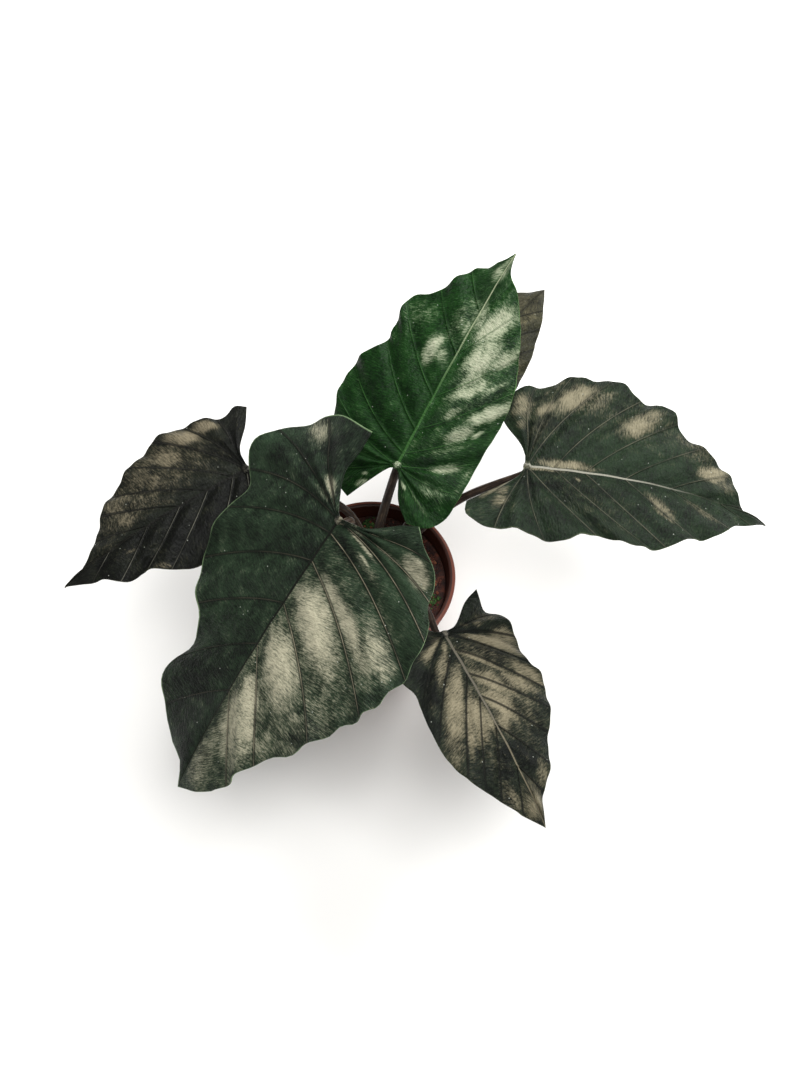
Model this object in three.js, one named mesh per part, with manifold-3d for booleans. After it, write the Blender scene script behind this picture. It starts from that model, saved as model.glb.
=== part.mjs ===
// Velvet alocasia in a nursery pot: pot, soil, crown, six leaf stalks and six arrow-shaped blades.
// Millimetres, +Z up, origin at the middle of the pot's underside. The plant is seen along +Y.
import * as THREE from 'three';
import { mergeVertices } from 'three/addons/utils/BufferGeometryUtils.js';
import Module from 'manifold-3d';

const wasm = await Module();
wasm.setup();

// Clearance kept between pieces that touch on the real plant.
const GAP = 0.3;
const DEGREE = Math.PI / 180;

// Pot: a 12 cm nursery pot with a band below its rim.
const POT = {
  height: 102,
  rimRadius: 60,
  baseRadius: 43,
  wall: 1.8,
  floor: 2.5,
  bandHeight: 13,
  bandStep: 2.6,
  sides: 56,
  drainHoles: 6,
  drainRadius: 4.5,
  drainRing: 27,
};

// Soil: fills the pot to a little below the rim, with a lumpy top.
const SOIL = {
  top: 91,
  lump: 1.3,
  ringRadii: [53, 46, 37, 28],
};

// Crown: the short stem that every stalk rises from, standing in a plain hole in the soil.
const CROWN = {
  x: -2,
  y: 7,
  radius: 14.5,
  bottom: 74,
  shoulder: 97,
  top: 103,
};

// Stalk: a tapering round tube from its socket in the crown to the underside of its blade.
const STALK = {
  sides: 10,
  steps: 14,
  ringRadius: 9.5,
  foot: 90,
  approachDrop: 5,
  approachBack: 6.5,
};

// Blade: thickness at the margin and depth of the midrib's keel at the stalk.
const BLADE = {
  thickness: 0.9,
  keel: 2.2,
  rows: [0, 0.07, 0.24, 0.44, 0.64, 0.84, 1],
  columnsPerVein: 4,
  veinBow: 0.3,
  widthShare: 0.38,
  seatAlong: 3.2,
};

// Each leaf: where its stalk joins the blade, where the midrib heads and how it rises or droops,
// and the two halves of the blade. Outlines are [across, along] from the joint on the flattened
// blade: outer runs from the tip to the end of the back lobe, inner from there to the joint.
// Side veins from the tip to the back lobe: veinRoots is where they leave the midrib, and 0 is the
// joint; veinEnds is where they reach the outer margin, as a share of it from the tip.
const LEAVES = [
  {
    name: 'front',
    joint: [-16, -19, 215],
    heading: -129, pitch: 26, droop: 22, lobePitch: -12, roll: 12, twist: -4,
    length: 205, veinLift: 2.4, wave: 3.2, waveCount: 5.5, wavePhase: 0.3,
    color: 0x2c362d,
    veinRoots: [125, 90, 60, 29, 9, 0, 0, 0],
    left: {
      fold: -6, curl: 13, lobeFold: -15,
      veinEnds: [0.16, 0.26, 0.42, 0.55, 0.67, 0.76, 0.84, 0.92],
      outer: [[0, 205], [17, 193], [30, 178], [40, 152], [59, 127], [70, 107], [84, 81], [91, 58],
        [92, 33], [88, 16], [79, 6], [74, -9], [62, -17], [51, -25]],
      inner: [[51, -25], [41, -20], [20, -6], [0, 0]],
    },
    right: {
      fold: 5, curl: 4, lobeFold: 5,
      veinEnds: [0.16, 0.26, 0.38, 0.47, 0.58, 0.67, 0.78, 0.89],
      outer: [[0, 205], [8, 188], [22, 185], [41, 168], [53, 150], [47, 127], [49, 107], [69, 89],
        [82, 68], [82, 44], [79, 22], [98, -1], [90, -20], [76, -34], [52, -53], [20, -56]],
      inner: [[20, -56], [18, -42], [18, -26], [9, -11], [0, 0]],
    },
    stalk: { angle: -140, radius: 3.4, tipRadius: 2.9, via: [[-13, -2, 130], [-18, -9, 175]] },
  },
  {
    name: 'young',
    joint: [19, 37, 188],
    heading: 59, pitch: -26, droop: 16, lobePitch: 0, roll: -2, twist: 0,
    length: 163, veinLift: 2.2, wave: 2.4, waveCount: 6, wavePhase: 1.1,
    color: 0x1c4a22,
    veinRoots: [114, 82, 50, 26, 9, 0, 0, 0],
    left: {
      fold: 6, curl: 8, lobeFold: 0,
      veinEnds: [0.13, 0.23, 0.34, 0.46, 0.58, 0.68, 0.79, 0.9],
      outer: [[0, 163], [10, 149], [21, 141], [35, 120], [50, 109], [53, 84], [53, 70], [65, 55],
        [68, 38], [63, 19], [60, 1], [49, -13], [36, -27], [22, -33]],
      inner: [[22, -33], [16, -22], [6, -6], [0, 0]],
    },
    right: {
      fold: 4, curl: 12, lobeFold: 0,
      veinEnds: [0.1, 0.2, 0.34, 0.45, 0.56, 0.68, 0.79, 0.9],
      outer: [[0, 163], [5, 147], [15, 137], [26, 121], [37, 99], [44, 81], [48, 62], [47, 30],
        [46, -2], [44, -18], [36, -28], [23, -31]],
      inner: [[23, -31], [12, -21], [5, -8], [0, 0]],
    },
    stalk: { angle: 0, radius: 3.6, tipRadius: 2.9, central: true, via: [[6.4, 20, 135], [12.7, 30, 159]] },
  },
  {
    name: 'right',
    joint: [103, 35, 190],
    heading: -8, pitch: -2, droop: 38, lobePitch: 0, roll: -8, twist: 8,
    length: 172, veinLift: 2.2, wave: 3, waveCount: 6.5, wavePhase: 2,
    color: 0x3a3d33,
    veinRoots: [130, 94, 63, 37, 17, 0, 0, 0],
    left: {
      fold: -6, curl: 4, lobeFold: 6,
      veinEnds: [0.1, 0.2, 0.31, 0.41, 0.54, 0.64, 0.76, 0.87],
      outer: [[0, 172], [2, 152], [13, 142], [25, 139], [32, 123], [46, 103], [60, 93], [66, 74],
        [79, 50], [77, 27], [70, 8], [65, -10], [50, -23]],
      inner: [[50, -23], [34, -17], [16, -5], [0, 0]],
    },
    right: {
      fold: -10, curl: 10, lobeFold: 0,
      veinEnds: [0.08, 0.19, 0.32, 0.41, 0.47, 0.6, 0.74, 0.87],
      outer: [[0, 172], [8, 155], [14, 141], [29, 124], [39, 104], [50, 86], [55, 64], [50, 45],
        [60, 25], [58, 2], [57, -14], [50, -35], [39, -36]],
      inner: [[39, -36], [22, -17], [9, -4], [0, 0]],
    },
    stalk: { angle: -25, radius: 3.2, tipRadius: 2.5, via: [[31, 13, 138], [61, 25, 165]] },
  },
  {
    name: 'left',
    joint: [-83, 49, 164],
    heading: 212, pitch: 2, droop: 24, lobePitch: -8, roll: -5, twist: 0,
    length: 145, veinLift: 2, wave: 2.4, waveCount: 6, wavePhase: 0.7,
    color: 0x2f2c26,
    veinRoots: [105, 75, 50, 29, 10, 0, 0, 0],
    left: {
      fold: 4, curl: 10, lobeFold: -14,
      veinEnds: [0.1, 0.21, 0.31, 0.39, 0.52, 0.64, 0.76, 0.88],
      outer: [[0, 145], [10, 128], [14, 118], [25, 106], [26, 90], [38, 72], [45, 52], [49, 30],
        [48, 8], [43, -14], [33, -28], [22, -31]],
      inner: [[22, -31], [13, -20], [4, -6], [0, 0]],
    },
    right: {
      fold: 2, curl: 4, lobeFold: 0,
      veinEnds: [0.1, 0.2, 0.29, 0.37, 0.49, 0.62, 0.74, 0.87],
      outer: [[0, 145], [2, 130], [7, 117], [19, 106], [32, 91], [41, 76], [48, 60], [55, 42],
        [55, 27], [52, 10], [46, -6], [49, -16], [44, -24]],
      inner: [[44, -24], [31, -16], [16, -4], [0, 0]],
    },
    stalk: { angle: 120, radius: 3.1, tipRadius: 2.4, via: [[-7, 21, 130], [-21, 33, 143], [-52, 41, 148]] },
  },
  {
    name: 'low',
    joint: [49, -66, 152],
    heading: -62, pitch: -1, droop: 38, lobePitch: -8, roll: -14, twist: 6,
    length: 135, veinLift: 2, wave: 2, waveCount: 5, wavePhase: 1.6,
    color: 0x4a463b,
    veinRoots: [92, 65, 45, 29, 11, 0, 0, 0],
    left: {
      fold: 8, curl: 2, lobeFold: 0,
      veinEnds: [0.12, 0.22, 0.33, 0.42, 0.5, 0.62, 0.74, 0.86],
      outer: [[0, 135], [6, 120], [19, 105], [34, 82], [44, 65], [49, 50], [45, 38], [48, 18],
        [48, 0], [39, -8], [42, -25]],
      inner: [[42, -25], [28, -18], [11, -4], [0, 0]],
    },
    right: {
      fold: -4, curl: 6, lobeFold: 0,
      veinEnds: [0.1, 0.19, 0.26, 0.33, 0.47, 0.6, 0.73, 0.87],
      outer: [[0, 135], [11, 120], [21, 104], [33, 86], [40, 65], [41, 50], [38, 32], [44, 16],
        [44, -3], [38, -17], [27, -26]],
      inner: [[27, -26], [17, -17], [7, -5], [0, 0]],
    },
    stalk: { angle: -75, radius: 3.1, tipRadius: 2.3, via: [[16, -19, 121], [37, -43, 141]] },
  },
  {
    name: 'back',
    joint: [42, 92, 163],
    heading: 52.5, pitch: -10, droop: 22, lobePitch: 0, roll: 0, twist: 0,
    length: 144, veinLift: 2, wave: 2.2, waveCount: 5.5, wavePhase: 2.6,
    color: 0x34352b,
    veinRoots: [105, 75, 48, 25, 8, 0, 0, 0],
    left: {
      fold: 6, curl: 10, lobeFold: 0,
      veinEnds: [0.12, 0.22, 0.33, 0.45, 0.56, 0.67, 0.78, 0.89],
      outer: [[0, 144], [8, 134], [17, 126], [27, 108], [34, 88], [38, 66], [40, 44], [40, 20],
        [36, 0], [29, -16], [20, -25]],
      inner: [[20, -25], [12, -17], [4, -5], [0, 0]],
    },
    right: {
      fold: 6, curl: 10, lobeFold: 0,
      veinEnds: [0.12, 0.22, 0.33, 0.45, 0.56, 0.67, 0.78, 0.89],
      outer: [[0, 144], [8, 131], [15, 118], [21, 105], [26, 91], [30, 80], [33, 66], [36, 48],
        [38, 28], [37, 8], [33, -8], [26, -20], [19, -26]],
      inner: [[19, -26], [12, -18], [4, -5], [0, 0]],
    },
    stalk: { angle: 30, radius: 3.1, tipRadius: 2.4, via: [[17, 18, 117], [40, 44, 138], [46, 72, 149]] },
  },
];

// One closed geometry with shared corners and no collapsed triangles.
function weld(geometry) {
  const bare = geometry.clone();
  bare.deleteAttribute('normal');
  bare.deleteAttribute('uv');
  const merged = mergeVertices(bare, 1e-3);
  const index = merged.index.array;
  const kept = [];
  for (let i = 0; i < index.length; i += 3) {
    const [a, b, c] = [index[i], index[i + 1], index[i + 2]];
    if (a !== b && b !== c && c !== a) {
      kept.push(a, b, c);
    }
  }
  merged.setIndex(kept);
  return merged;
}

// A welded geometry as a solid that can be cut.
function toSolid(geometry) {
  const welded = weld(geometry);
  const mesh = new wasm.Mesh({
    numProp: 3,
    vertProperties: new Float32Array(welded.attributes.position.array),
    triVerts: new Uint32Array(welded.index.array),
  });
  return new wasm.Manifold(mesh);
}

// A cut solid as a geometry again.
function toGeometry(solid) {
  const mesh = solid.getMesh();
  const geometry = new THREE.BufferGeometry();
  geometry.setAttribute('position', new THREE.BufferAttribute(mesh.vertProperties, 3));
  geometry.setIndex(new THREE.BufferAttribute(mesh.triVerts, 1));
  return geometry;
}

// A named piece with its own finish.
function piece(name, geometry, color, roughness) {
  geometry.computeVertexNormals();
  const material = new THREE.MeshStandardMaterial({ color, roughness, metalness: 0 });
  const mesh = new THREE.Mesh(geometry, material);
  mesh.name = name;
  return mesh;
}

// A lathe around +Z from [radius, height] pairs.
function turned(profile, sides) {
  const points = profile.map(([radius, height]) => new THREE.Vector2(radius, height));
  return new THREE.LatheGeometry(points, sides).rotateX(Math.PI / 2);
}

// An upright round bar between two heights.
function bar(radius, low, high, sides) {
  const geometry = new THREE.CylinderGeometry(radius, radius, high - low, sides);
  return geometry.rotateX(Math.PI / 2).translate(0, 0, (low + high) / 2);
}

// Outer radius of the pot's tapering wall at a height.
function potRadius(height) {
  const underBand = POT.rimRadius - POT.bandStep;
  return POT.baseRadius + (underBand - POT.baseRadius) * (height / POT.height);
}

// Pot: tapering wall, rim band with a rounded lip, flat underside with drain holes in a ring.
function makePot() {
  const bandFoot = POT.height - POT.bandHeight;
  const innerRim = potRadius(POT.height) - POT.wall;
  const profile = [
    [0, 0],
    [POT.baseRadius - 2, 0],
    [POT.baseRadius, 2],
    [potRadius(bandFoot), bandFoot],
    [potRadius(bandFoot) + POT.bandStep, bandFoot + 1],
    [POT.rimRadius - 0.6, POT.height - 4],
    [POT.rimRadius, POT.height - 2.6],
    [POT.rimRadius, POT.height - 1],
    [POT.rimRadius - 1, POT.height],
    [innerRim + 0.8, POT.height],
    [innerRim, POT.height - 1],
    [potRadius(POT.floor) - POT.wall, POT.floor],
    [0, POT.floor],
  ];
  let pot = toSolid(turned(profile, POT.sides));
  for (let i = 0; i < POT.drainHoles; i += 1) {
    const angle = (i / POT.drainHoles) * 2 * Math.PI;
    const hole = bar(POT.drainRadius, -1, POT.floor + 1, 16);
    hole.translate(POT.drainRing * Math.cos(angle), POT.drainRing * Math.sin(angle), 0);
    pot = pot.subtract(toSolid(hole));
  }
  return toGeometry(pot);
}

// Height of the lumpy soil above its mean level.
function soilLump(x, y) {
  const coarse = Math.sin(0.16 * x + 0.7) * Math.cos(0.13 * y - 0.4);
  const fine = Math.sin(0.41 * x - 0.22 * y) + Math.cos(0.37 * y + 0.29 * x + 1.2);
  return SOIL.lump * (coarse + 0.45 * fine);
}

// Soil: a plug that fills the pot, with a plain hole for the crown.
function makeSoil() {
  const bottom = POT.floor + GAP;
  const inside = (height) => potRadius(height) - POT.wall - GAP;
  const edge = SOIL.top - 1.5;
  const rings = SOIL.ringRadii.map((radius) => [radius, SOIL.top]);
  const wall = [[0, bottom], [inside(bottom), bottom], [inside(edge), edge]];
  const profile = [...wall, ...rings, [0, SOIL.top]];
  const geometry = turned(profile, 40);
  const position = geometry.attributes.position;
  for (let i = 0; i < position.count; i += 1) {
    if (position.getZ(i) > edge + 1) {
      position.setZ(i, SOIL.top + soilLump(position.getX(i), position.getY(i)));
    }
  }
  const hole = bar(CROWN.radius + GAP, CROWN.bottom - GAP, SOIL.top + 10, 28);
  hole.translate(CROWN.x, CROWN.y, 0);
  return toGeometry(toSolid(geometry).subtract(toSolid(hole)));
}

// Level direction in which a leaf's midrib heads.
function aheadOf(leaf) {
  const heading = leaf.heading * DEGREE;
  return new THREE.Vector3(Math.cos(heading), Math.sin(heading), 0);
}

// Pitch of the midrib below the horizontal at a distance from the joint, in radians.
function pitchAt(leaf, along) {
  const share = along / leaf.length;
  const change = share >= 0 ? leaf.droop * share ** 1.5 : leaf.lobePitch * -share;
  return (leaf.pitch + change) * DEGREE;
}

// Midrib point at a distance from the joint: how far forward and how far up.
function midribAt(leaf, along) {
  const steps = 24;
  let forward = 0;
  let up = 0;
  for (let i = 0; i < steps; i += 1) {
    const pitch = pitchAt(leaf, (along * (i + 0.5)) / steps);
    forward += (Math.cos(pitch) * along) / steps;
    up -= (Math.sin(pitch) * along) / steps;
  }
  return [forward, up];
}

// Point and upward normal of the bent blade. Across is positive on the right of the heading.
function bladePoint(leaf, across, along) {
  const half = across >= 0 ? leaf.right : leaf.left;
  const side = across >= 0 ? 1 : -1;
  const ahead = aheadOf(leaf);
  const rightward = new THREE.Vector3(ahead.y, -ahead.x, 0);
  const pitch = pitchAt(leaf, along);
  const normal = ahead.clone().multiplyScalar(Math.sin(pitch));
  normal.z = Math.cos(pitch);
  const roll = (leaf.roll + (leaf.twist * along) / leaf.length) * DEGREE;
  const wide = rightward.clone().multiplyScalar(Math.cos(roll));
  wide.addScaledVector(normal, -Math.sin(roll));
  const high = normal.clone().multiplyScalar(Math.cos(roll));
  high.addScaledVector(rightward, Math.sin(roll));
  const lobe = THREE.MathUtils.clamp(-along / (0.4 * leaf.length), 0, 1.3);
  const fold = (half.fold + half.lobeFold * lobe) * DEGREE;
  const reach = Math.abs(across);
  const bend = Math.max((half.curl * DEGREE * reach) / (BLADE.widthShare * leaf.length), 1e-5);
  const out = (across * (Math.sin(fold + bend) - Math.sin(fold))) / bend;
  const lift = (reach * (Math.cos(fold + bend) - Math.cos(fold))) / bend;
  const [forward, up] = midribAt(leaf, along);
  const point = new THREE.Vector3(...leaf.joint).addScaledVector(ahead, forward);
  point.z += up;
  point.addScaledVector(wide, out).addScaledVector(high, lift);
  const tilt = fold + bend;
  const facing = high.clone().multiplyScalar(Math.cos(tilt));
  facing.addScaledVector(wide, side * Math.sin(tilt));
  return { point, facing };
}

// A smooth line through [across, along] pairs.
function smoothLine(pairs) {
  const points = pairs.map(([across, along]) => new THREE.Vector3(across, along, 0));
  return new THREE.CatmullRomCurve3(points, false, 'centripetal');
}

// Flat [across, along] points of one half: columns follow the side veins from midrib to margin.
function halfColumns(leaf, half) {
  const outer = smoothLine(half.outer);
  const inner = smoothLine([...half.inner].reverse());
  const [lobeX, lobeY] = half.inner[0];
  const roots = [leaf.length, ...leaf.veinRoots, 0];
  const ends = [0, ...half.veinEnds, 1];
  const last = roots.length - 1;
  const fanStart = roots.indexOf(0);
  const joint = new THREE.Vector2(0, 0);
  const columns = [];
  for (let j = 1; j <= last * BLADE.columnsPerVein; j += 1) {
    const place = j / BLADE.columnsPerVein;
    const vein = Math.min(Math.floor(place), last - 1);
    const root = THREE.MathUtils.lerp(roots[vein], roots[vein + 1], place - vein);
    const run = THREE.MathUtils.lerp(ends[vein], ends[vein + 1], place - vein);
    const margin = outer.getPointAt(run);
    const lobeShare = Math.max(0, (place - fanStart) / (last - fanStart));
    const points = BLADE.rows.map((share) => {
      const bow = BLADE.veinBow * share * (1 - share) * margin.x;
      const along = root + share * (margin.y - root) - bow;
      const straight = new THREE.Vector2(share * margin.x, along);
      const edge = inner.getPointAt(share);
      const swung = new THREE.Vector2(edge.x, edge.y);
      swung.rotateAround(joint, Math.atan2(margin.y, margin.x) - Math.atan2(lobeY, lobeX));
      swung.multiplyScalar(Math.hypot(margin.x, margin.y) / Math.hypot(lobeX, lobeY));
      return straight.lerp(swung, lobeShare ** 2);
    });
    columns.push({ place, run, points });
  }
  return columns;
}

// Relief of the blade above its smooth surface: quilting between the side veins, waved margin.
function relief(leaf, { place, run }, share, side) {
  const pillow = 0.5 - 0.5 * Math.cos(2 * Math.PI * place);
  const quilt = leaf.veinLift * pillow * Math.sin(Math.PI * share ** 0.8) ** 0.8;
  const wavePhase = 2 * Math.PI * leaf.waveCount * run + leaf.wavePhase * (2 + side);
  const fade = Math.min(1, 4 * run) * Math.min(1, 5 * (1.05 - run));
  return quilt + leaf.wave * Math.sin(wavePhase) * share ** 3 * fade;
}

// Blade thickness: thin at the margin, a keel along the midrib that fades towards the tip.
function thicknessAt(leaf, share, along) {
  const fade = THREE.MathUtils.clamp(1 - along / leaf.length, 0, 1);
  const keel = share === 0 ? BLADE.keel * fade : 0;
  const vein = share > 0 && share < 0.2 ? 0.5 * BLADE.keel * fade : 0;
  return BLADE.thickness + keel + vein;
}

// One blade as a closed solid with matching triangles on its two faces.
function makeBlade(leaf) {
  const corners = [];
  const faces = [];
  const rowCount = BLADE.rows.length;
  const addCorner = (across, along, lift, thickness) => {
    const { point, facing } = bladePoint(leaf, across, along);
    const top = point.clone().addScaledVector(facing, lift);
    const under = point.clone().addScaledVector(facing, lift - thickness);
    corners.push(top, under);
    return corners.length - 2;
  };
  const addTriangle = (a, b, c, side) => {
    const [p, q] = side > 0 ? [b, c] : [c, b];
    faces.push(a, p, q, a + 1, q + 1, p + 1);
  };
  const addWall = (a, b, side) => {
    const [p, q] = side > 0 ? [a, b] : [b, a];
    faces.push(p, q, p + 1, q, q + 1, p + 1);
  };
  const tip = addCorner(0, leaf.length, 0, BLADE.thickness);
  const midrib = new Map();
  for (const side of [1, -1]) {
    const columns = halfColumns(leaf, side > 0 ? leaf.right : leaf.left);
    const grid = columns.map((column) => column.points.map((flat, row) => {
      const share = BLADE.rows[row];
      const key = Math.round(flat.y * 100);
      if (row === 0 && midrib.has(key)) {
        return midrib.get(key);
      }
      const lift = row === 0 ? 0 : relief(leaf, column, share, side);
      const corner = addCorner(side * flat.x, flat.y, lift, thicknessAt(leaf, share, flat.y));
      if (row === 0) {
        midrib.set(key, corner);
      }
      return corner;
    }));
    for (let row = 0; row < rowCount - 1; row += 1) {
      addTriangle(tip, grid[0][row], grid[0][row + 1], side);
    }
    for (let j = 0; j < grid.length - 1; j += 1) {
      for (let row = 0; row < rowCount - 1; row += 1) {
        const [a, b] = [grid[j][row], grid[j][row + 1]];
        const [c, d] = [grid[j + 1][row], grid[j + 1][row + 1]];
        addTriangle(a, d, b, side);
        if (a !== c) {
          addTriangle(a, c, d, side);
        }
      }
      addWall(grid[j][rowCount - 1], grid[j + 1][rowCount - 1], side);
    }
    addWall(tip, grid[0][rowCount - 1], side);
    const last = grid[grid.length - 1];
    for (let row = rowCount - 1; row > 0; row -= 1) {
      addWall(last[row], last[row - 1], side);
    }
  }
  const geometry = new THREE.BufferGeometry();
  geometry.setFromPoints(corners);
  geometry.setIndex(faces);
  return geometry;
}

// Route of a stalk from its socket in the crown to just under the blade's joint.
function stalkRoute(leaf) {
  const { angle, via, central } = leaf.stalk;
  const reach = central ? 0 : STALK.ringRadius;
  const foot = new THREE.Vector3(
    CROWN.x + reach * Math.cos(angle * DEGREE),
    CROWN.y + reach * Math.sin(angle * DEGREE),
    STALK.foot,
  );
  const { point, facing } = bladePoint(leaf, 0, BLADE.seatAlong);
  const seat = point.clone().addScaledVector(facing, -(BLADE.thickness + BLADE.keel + GAP));
  const approach = seat.clone().addScaledVector(facing, -STALK.approachDrop);
  approach.addScaledVector(aheadOf(leaf), -STALK.approachBack);
  const points = [foot, ...via.map((p) => new THREE.Vector3(...p)), approach, seat];
  const route = new THREE.CatmullRomCurve3(points, false, 'centripetal');
  return { route, seat, facing };
}

// A stalk: a cylinder bent along its route and tapered, its top cut flush with the blade.
function makeStalk(leaf, grow = 0) {
  const { route, seat, facing } = stalkRoute(leaf);
  const geometry = new THREE.CylinderGeometry(1, 1, 1, STALK.sides, STALK.steps);
  const frames = route.computeFrenetFrames(STALK.steps);
  const position = geometry.attributes.position;
  for (let i = 0; i < position.count; i += 1) {
    const share = position.getY(i) + 0.5;
    const step = Math.round(share * STALK.steps);
    const radius = THREE.MathUtils.lerp(leaf.stalk.radius, leaf.stalk.tipRadius, share) + grow;
    const point = route.getPointAt(share);
    if (step === 0) {
      point.addScaledVector(frames.tangents[step], -grow);
    }
    point.addScaledVector(frames.binormals[step], position.getX(i) * radius);
    point.addScaledVector(frames.normals[step], position.getZ(i) * radius);
    if (step === STALK.steps) {
      const tangent = frames.tangents[step];
      const slide = seat.clone().sub(point).dot(facing) / tangent.dot(facing);
      point.addScaledVector(tangent, slide);
    }
    position.setXYZ(i, point.x, point.y, point.z);
  }
  return weld(geometry);
}

// Crown: a short blunt stem with a socket for each stalk.
function makeCrown() {
  const profile = [
    [0, CROWN.bottom],
    [CROWN.radius - 3, CROWN.bottom],
    [CROWN.radius, CROWN.bottom + 3],
    [CROWN.radius, CROWN.shoulder],
    [CROWN.radius - 1.5, CROWN.shoulder + 3.5],
    [CROWN.radius - 5, CROWN.top],
    [0, CROWN.top + 0.5],
  ];
  let crown = toSolid(turned(profile, 28).translate(CROWN.x, CROWN.y, 0));
  for (const leaf of LEAVES) {
    crown = crown.subtract(toSolid(makeStalk(leaf, GAP)));
  }
  return toGeometry(crown);
}

const plant = new THREE.Group();
plant.add(piece('pot', makePot(), 0x9a4a2a, 0.55));
plant.add(piece('soil', makeSoil(), 0x3a2218, 0.95));
plant.add(piece('crown', makeCrown(), 0x4a3a30, 0.7));
for (const leaf of LEAVES) {
  plant.add(piece(`stalk_${leaf.name}`, makeStalk(leaf), 0x463c36, 0.5));
  plant.add(piece(`blade_${leaf.name}`, makeBlade(leaf), leaf.color, 0.45));
}

export default plant;
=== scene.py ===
"""A potted velvet alocasia: nursery pot, soil, crown, six leaf stalks and six waved blades."""
import functools
import math
import random

import bpy
import numpy as np
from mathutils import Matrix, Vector


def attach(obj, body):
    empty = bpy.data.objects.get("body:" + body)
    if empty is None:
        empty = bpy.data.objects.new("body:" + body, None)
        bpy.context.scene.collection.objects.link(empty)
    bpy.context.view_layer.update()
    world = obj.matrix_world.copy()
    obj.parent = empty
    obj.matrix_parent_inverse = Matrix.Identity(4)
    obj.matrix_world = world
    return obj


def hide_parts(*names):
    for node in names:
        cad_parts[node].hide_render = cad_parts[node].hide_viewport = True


bl_info = {
    "name": "Potted velvet alocasia",
    "version": (1, 0, 0),
    "blender": (4, 5, 0),
    "location": "3D View > Sidebar > Plant",
    "description": "Builds a velvet-leaved alocasia in a nursery pot",
    "category": "Add Mesh",
}

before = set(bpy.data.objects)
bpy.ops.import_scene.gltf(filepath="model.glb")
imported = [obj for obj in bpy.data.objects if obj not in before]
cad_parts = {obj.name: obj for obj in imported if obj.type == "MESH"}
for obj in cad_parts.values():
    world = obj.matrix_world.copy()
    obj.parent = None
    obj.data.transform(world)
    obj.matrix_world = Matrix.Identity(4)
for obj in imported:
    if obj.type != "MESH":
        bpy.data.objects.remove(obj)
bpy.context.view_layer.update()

# Sizes below are in millimetres, and MM turns them into the scene's metres.
MM = 0.001
GAP = 0.3

# Pot: a 12 cm nursery pot, its band and its drain holes, as in the frame.
POT_HEIGHT = 102
RIM_RADIUS = 60
BASE_RADIUS = 43
WALL = 1.8
FLOOR = 2.5
BAND_HEIGHT = 13
BAND_STEP = 2.6
CLEAN_LIP = 2.2
DRAIN_HOLES = 6
DRAIN_RADIUS = 4.5
DRAIN_RING = 27

# Soil, its patches of moss, and the crown with its dry sheaths that stands in it.
SOIL_TOP = 91
SOIL_LUMP = 1.3
CROWN_PLACE = (-2, 7)
CROWN_RADIUS = 14.5
CROWN_BOTTOM = 74
CROWN_SHOULDER = 97
CROWN_TOP = 103
CLUMP_SPREAD = 3.5
SHEATH_THICKNESS = 0.35
SHEATH_HEIGHT = 8.5

# Stalks: ring of feet in the crown, and how each one comes up under its blade.
RING_RADIUS = 9.5
FOOT = 90
APPROACH_DROP = 5
APPROACH_BACK = 6.5

# Blades: thickness at the margin, keel under the midrib, bow of the side veins, curl's reach.
THICKNESS = 0.9
KEEL = 2.2
VEIN_BOW = 0.3
WIDTH_SHARE = 0.38
SEAT_ALONG = 3.2

# Mesh lines of a blade: distances from a side vein, from the midrib and from the margin, and how
# many even lines lie between them.
NEAR_VEIN = np.array([0, 0.45, 0.9, 1.5, 2.4, 3.8])
NEAR_MIDRIB = np.array([0, 0.5, 1.1, 1.9, 3.0, 4.5])
NEAR_MARGIN = np.array([0, 0.35, 0.8, 1.5, 2.6])
EVEN_IN_PANEL = 6
COLUMNS_IN_PANEL = 2 * len(NEAR_VEIN) + EVEN_IN_PANEL - 1
EVEN_ROWS = 38

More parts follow.
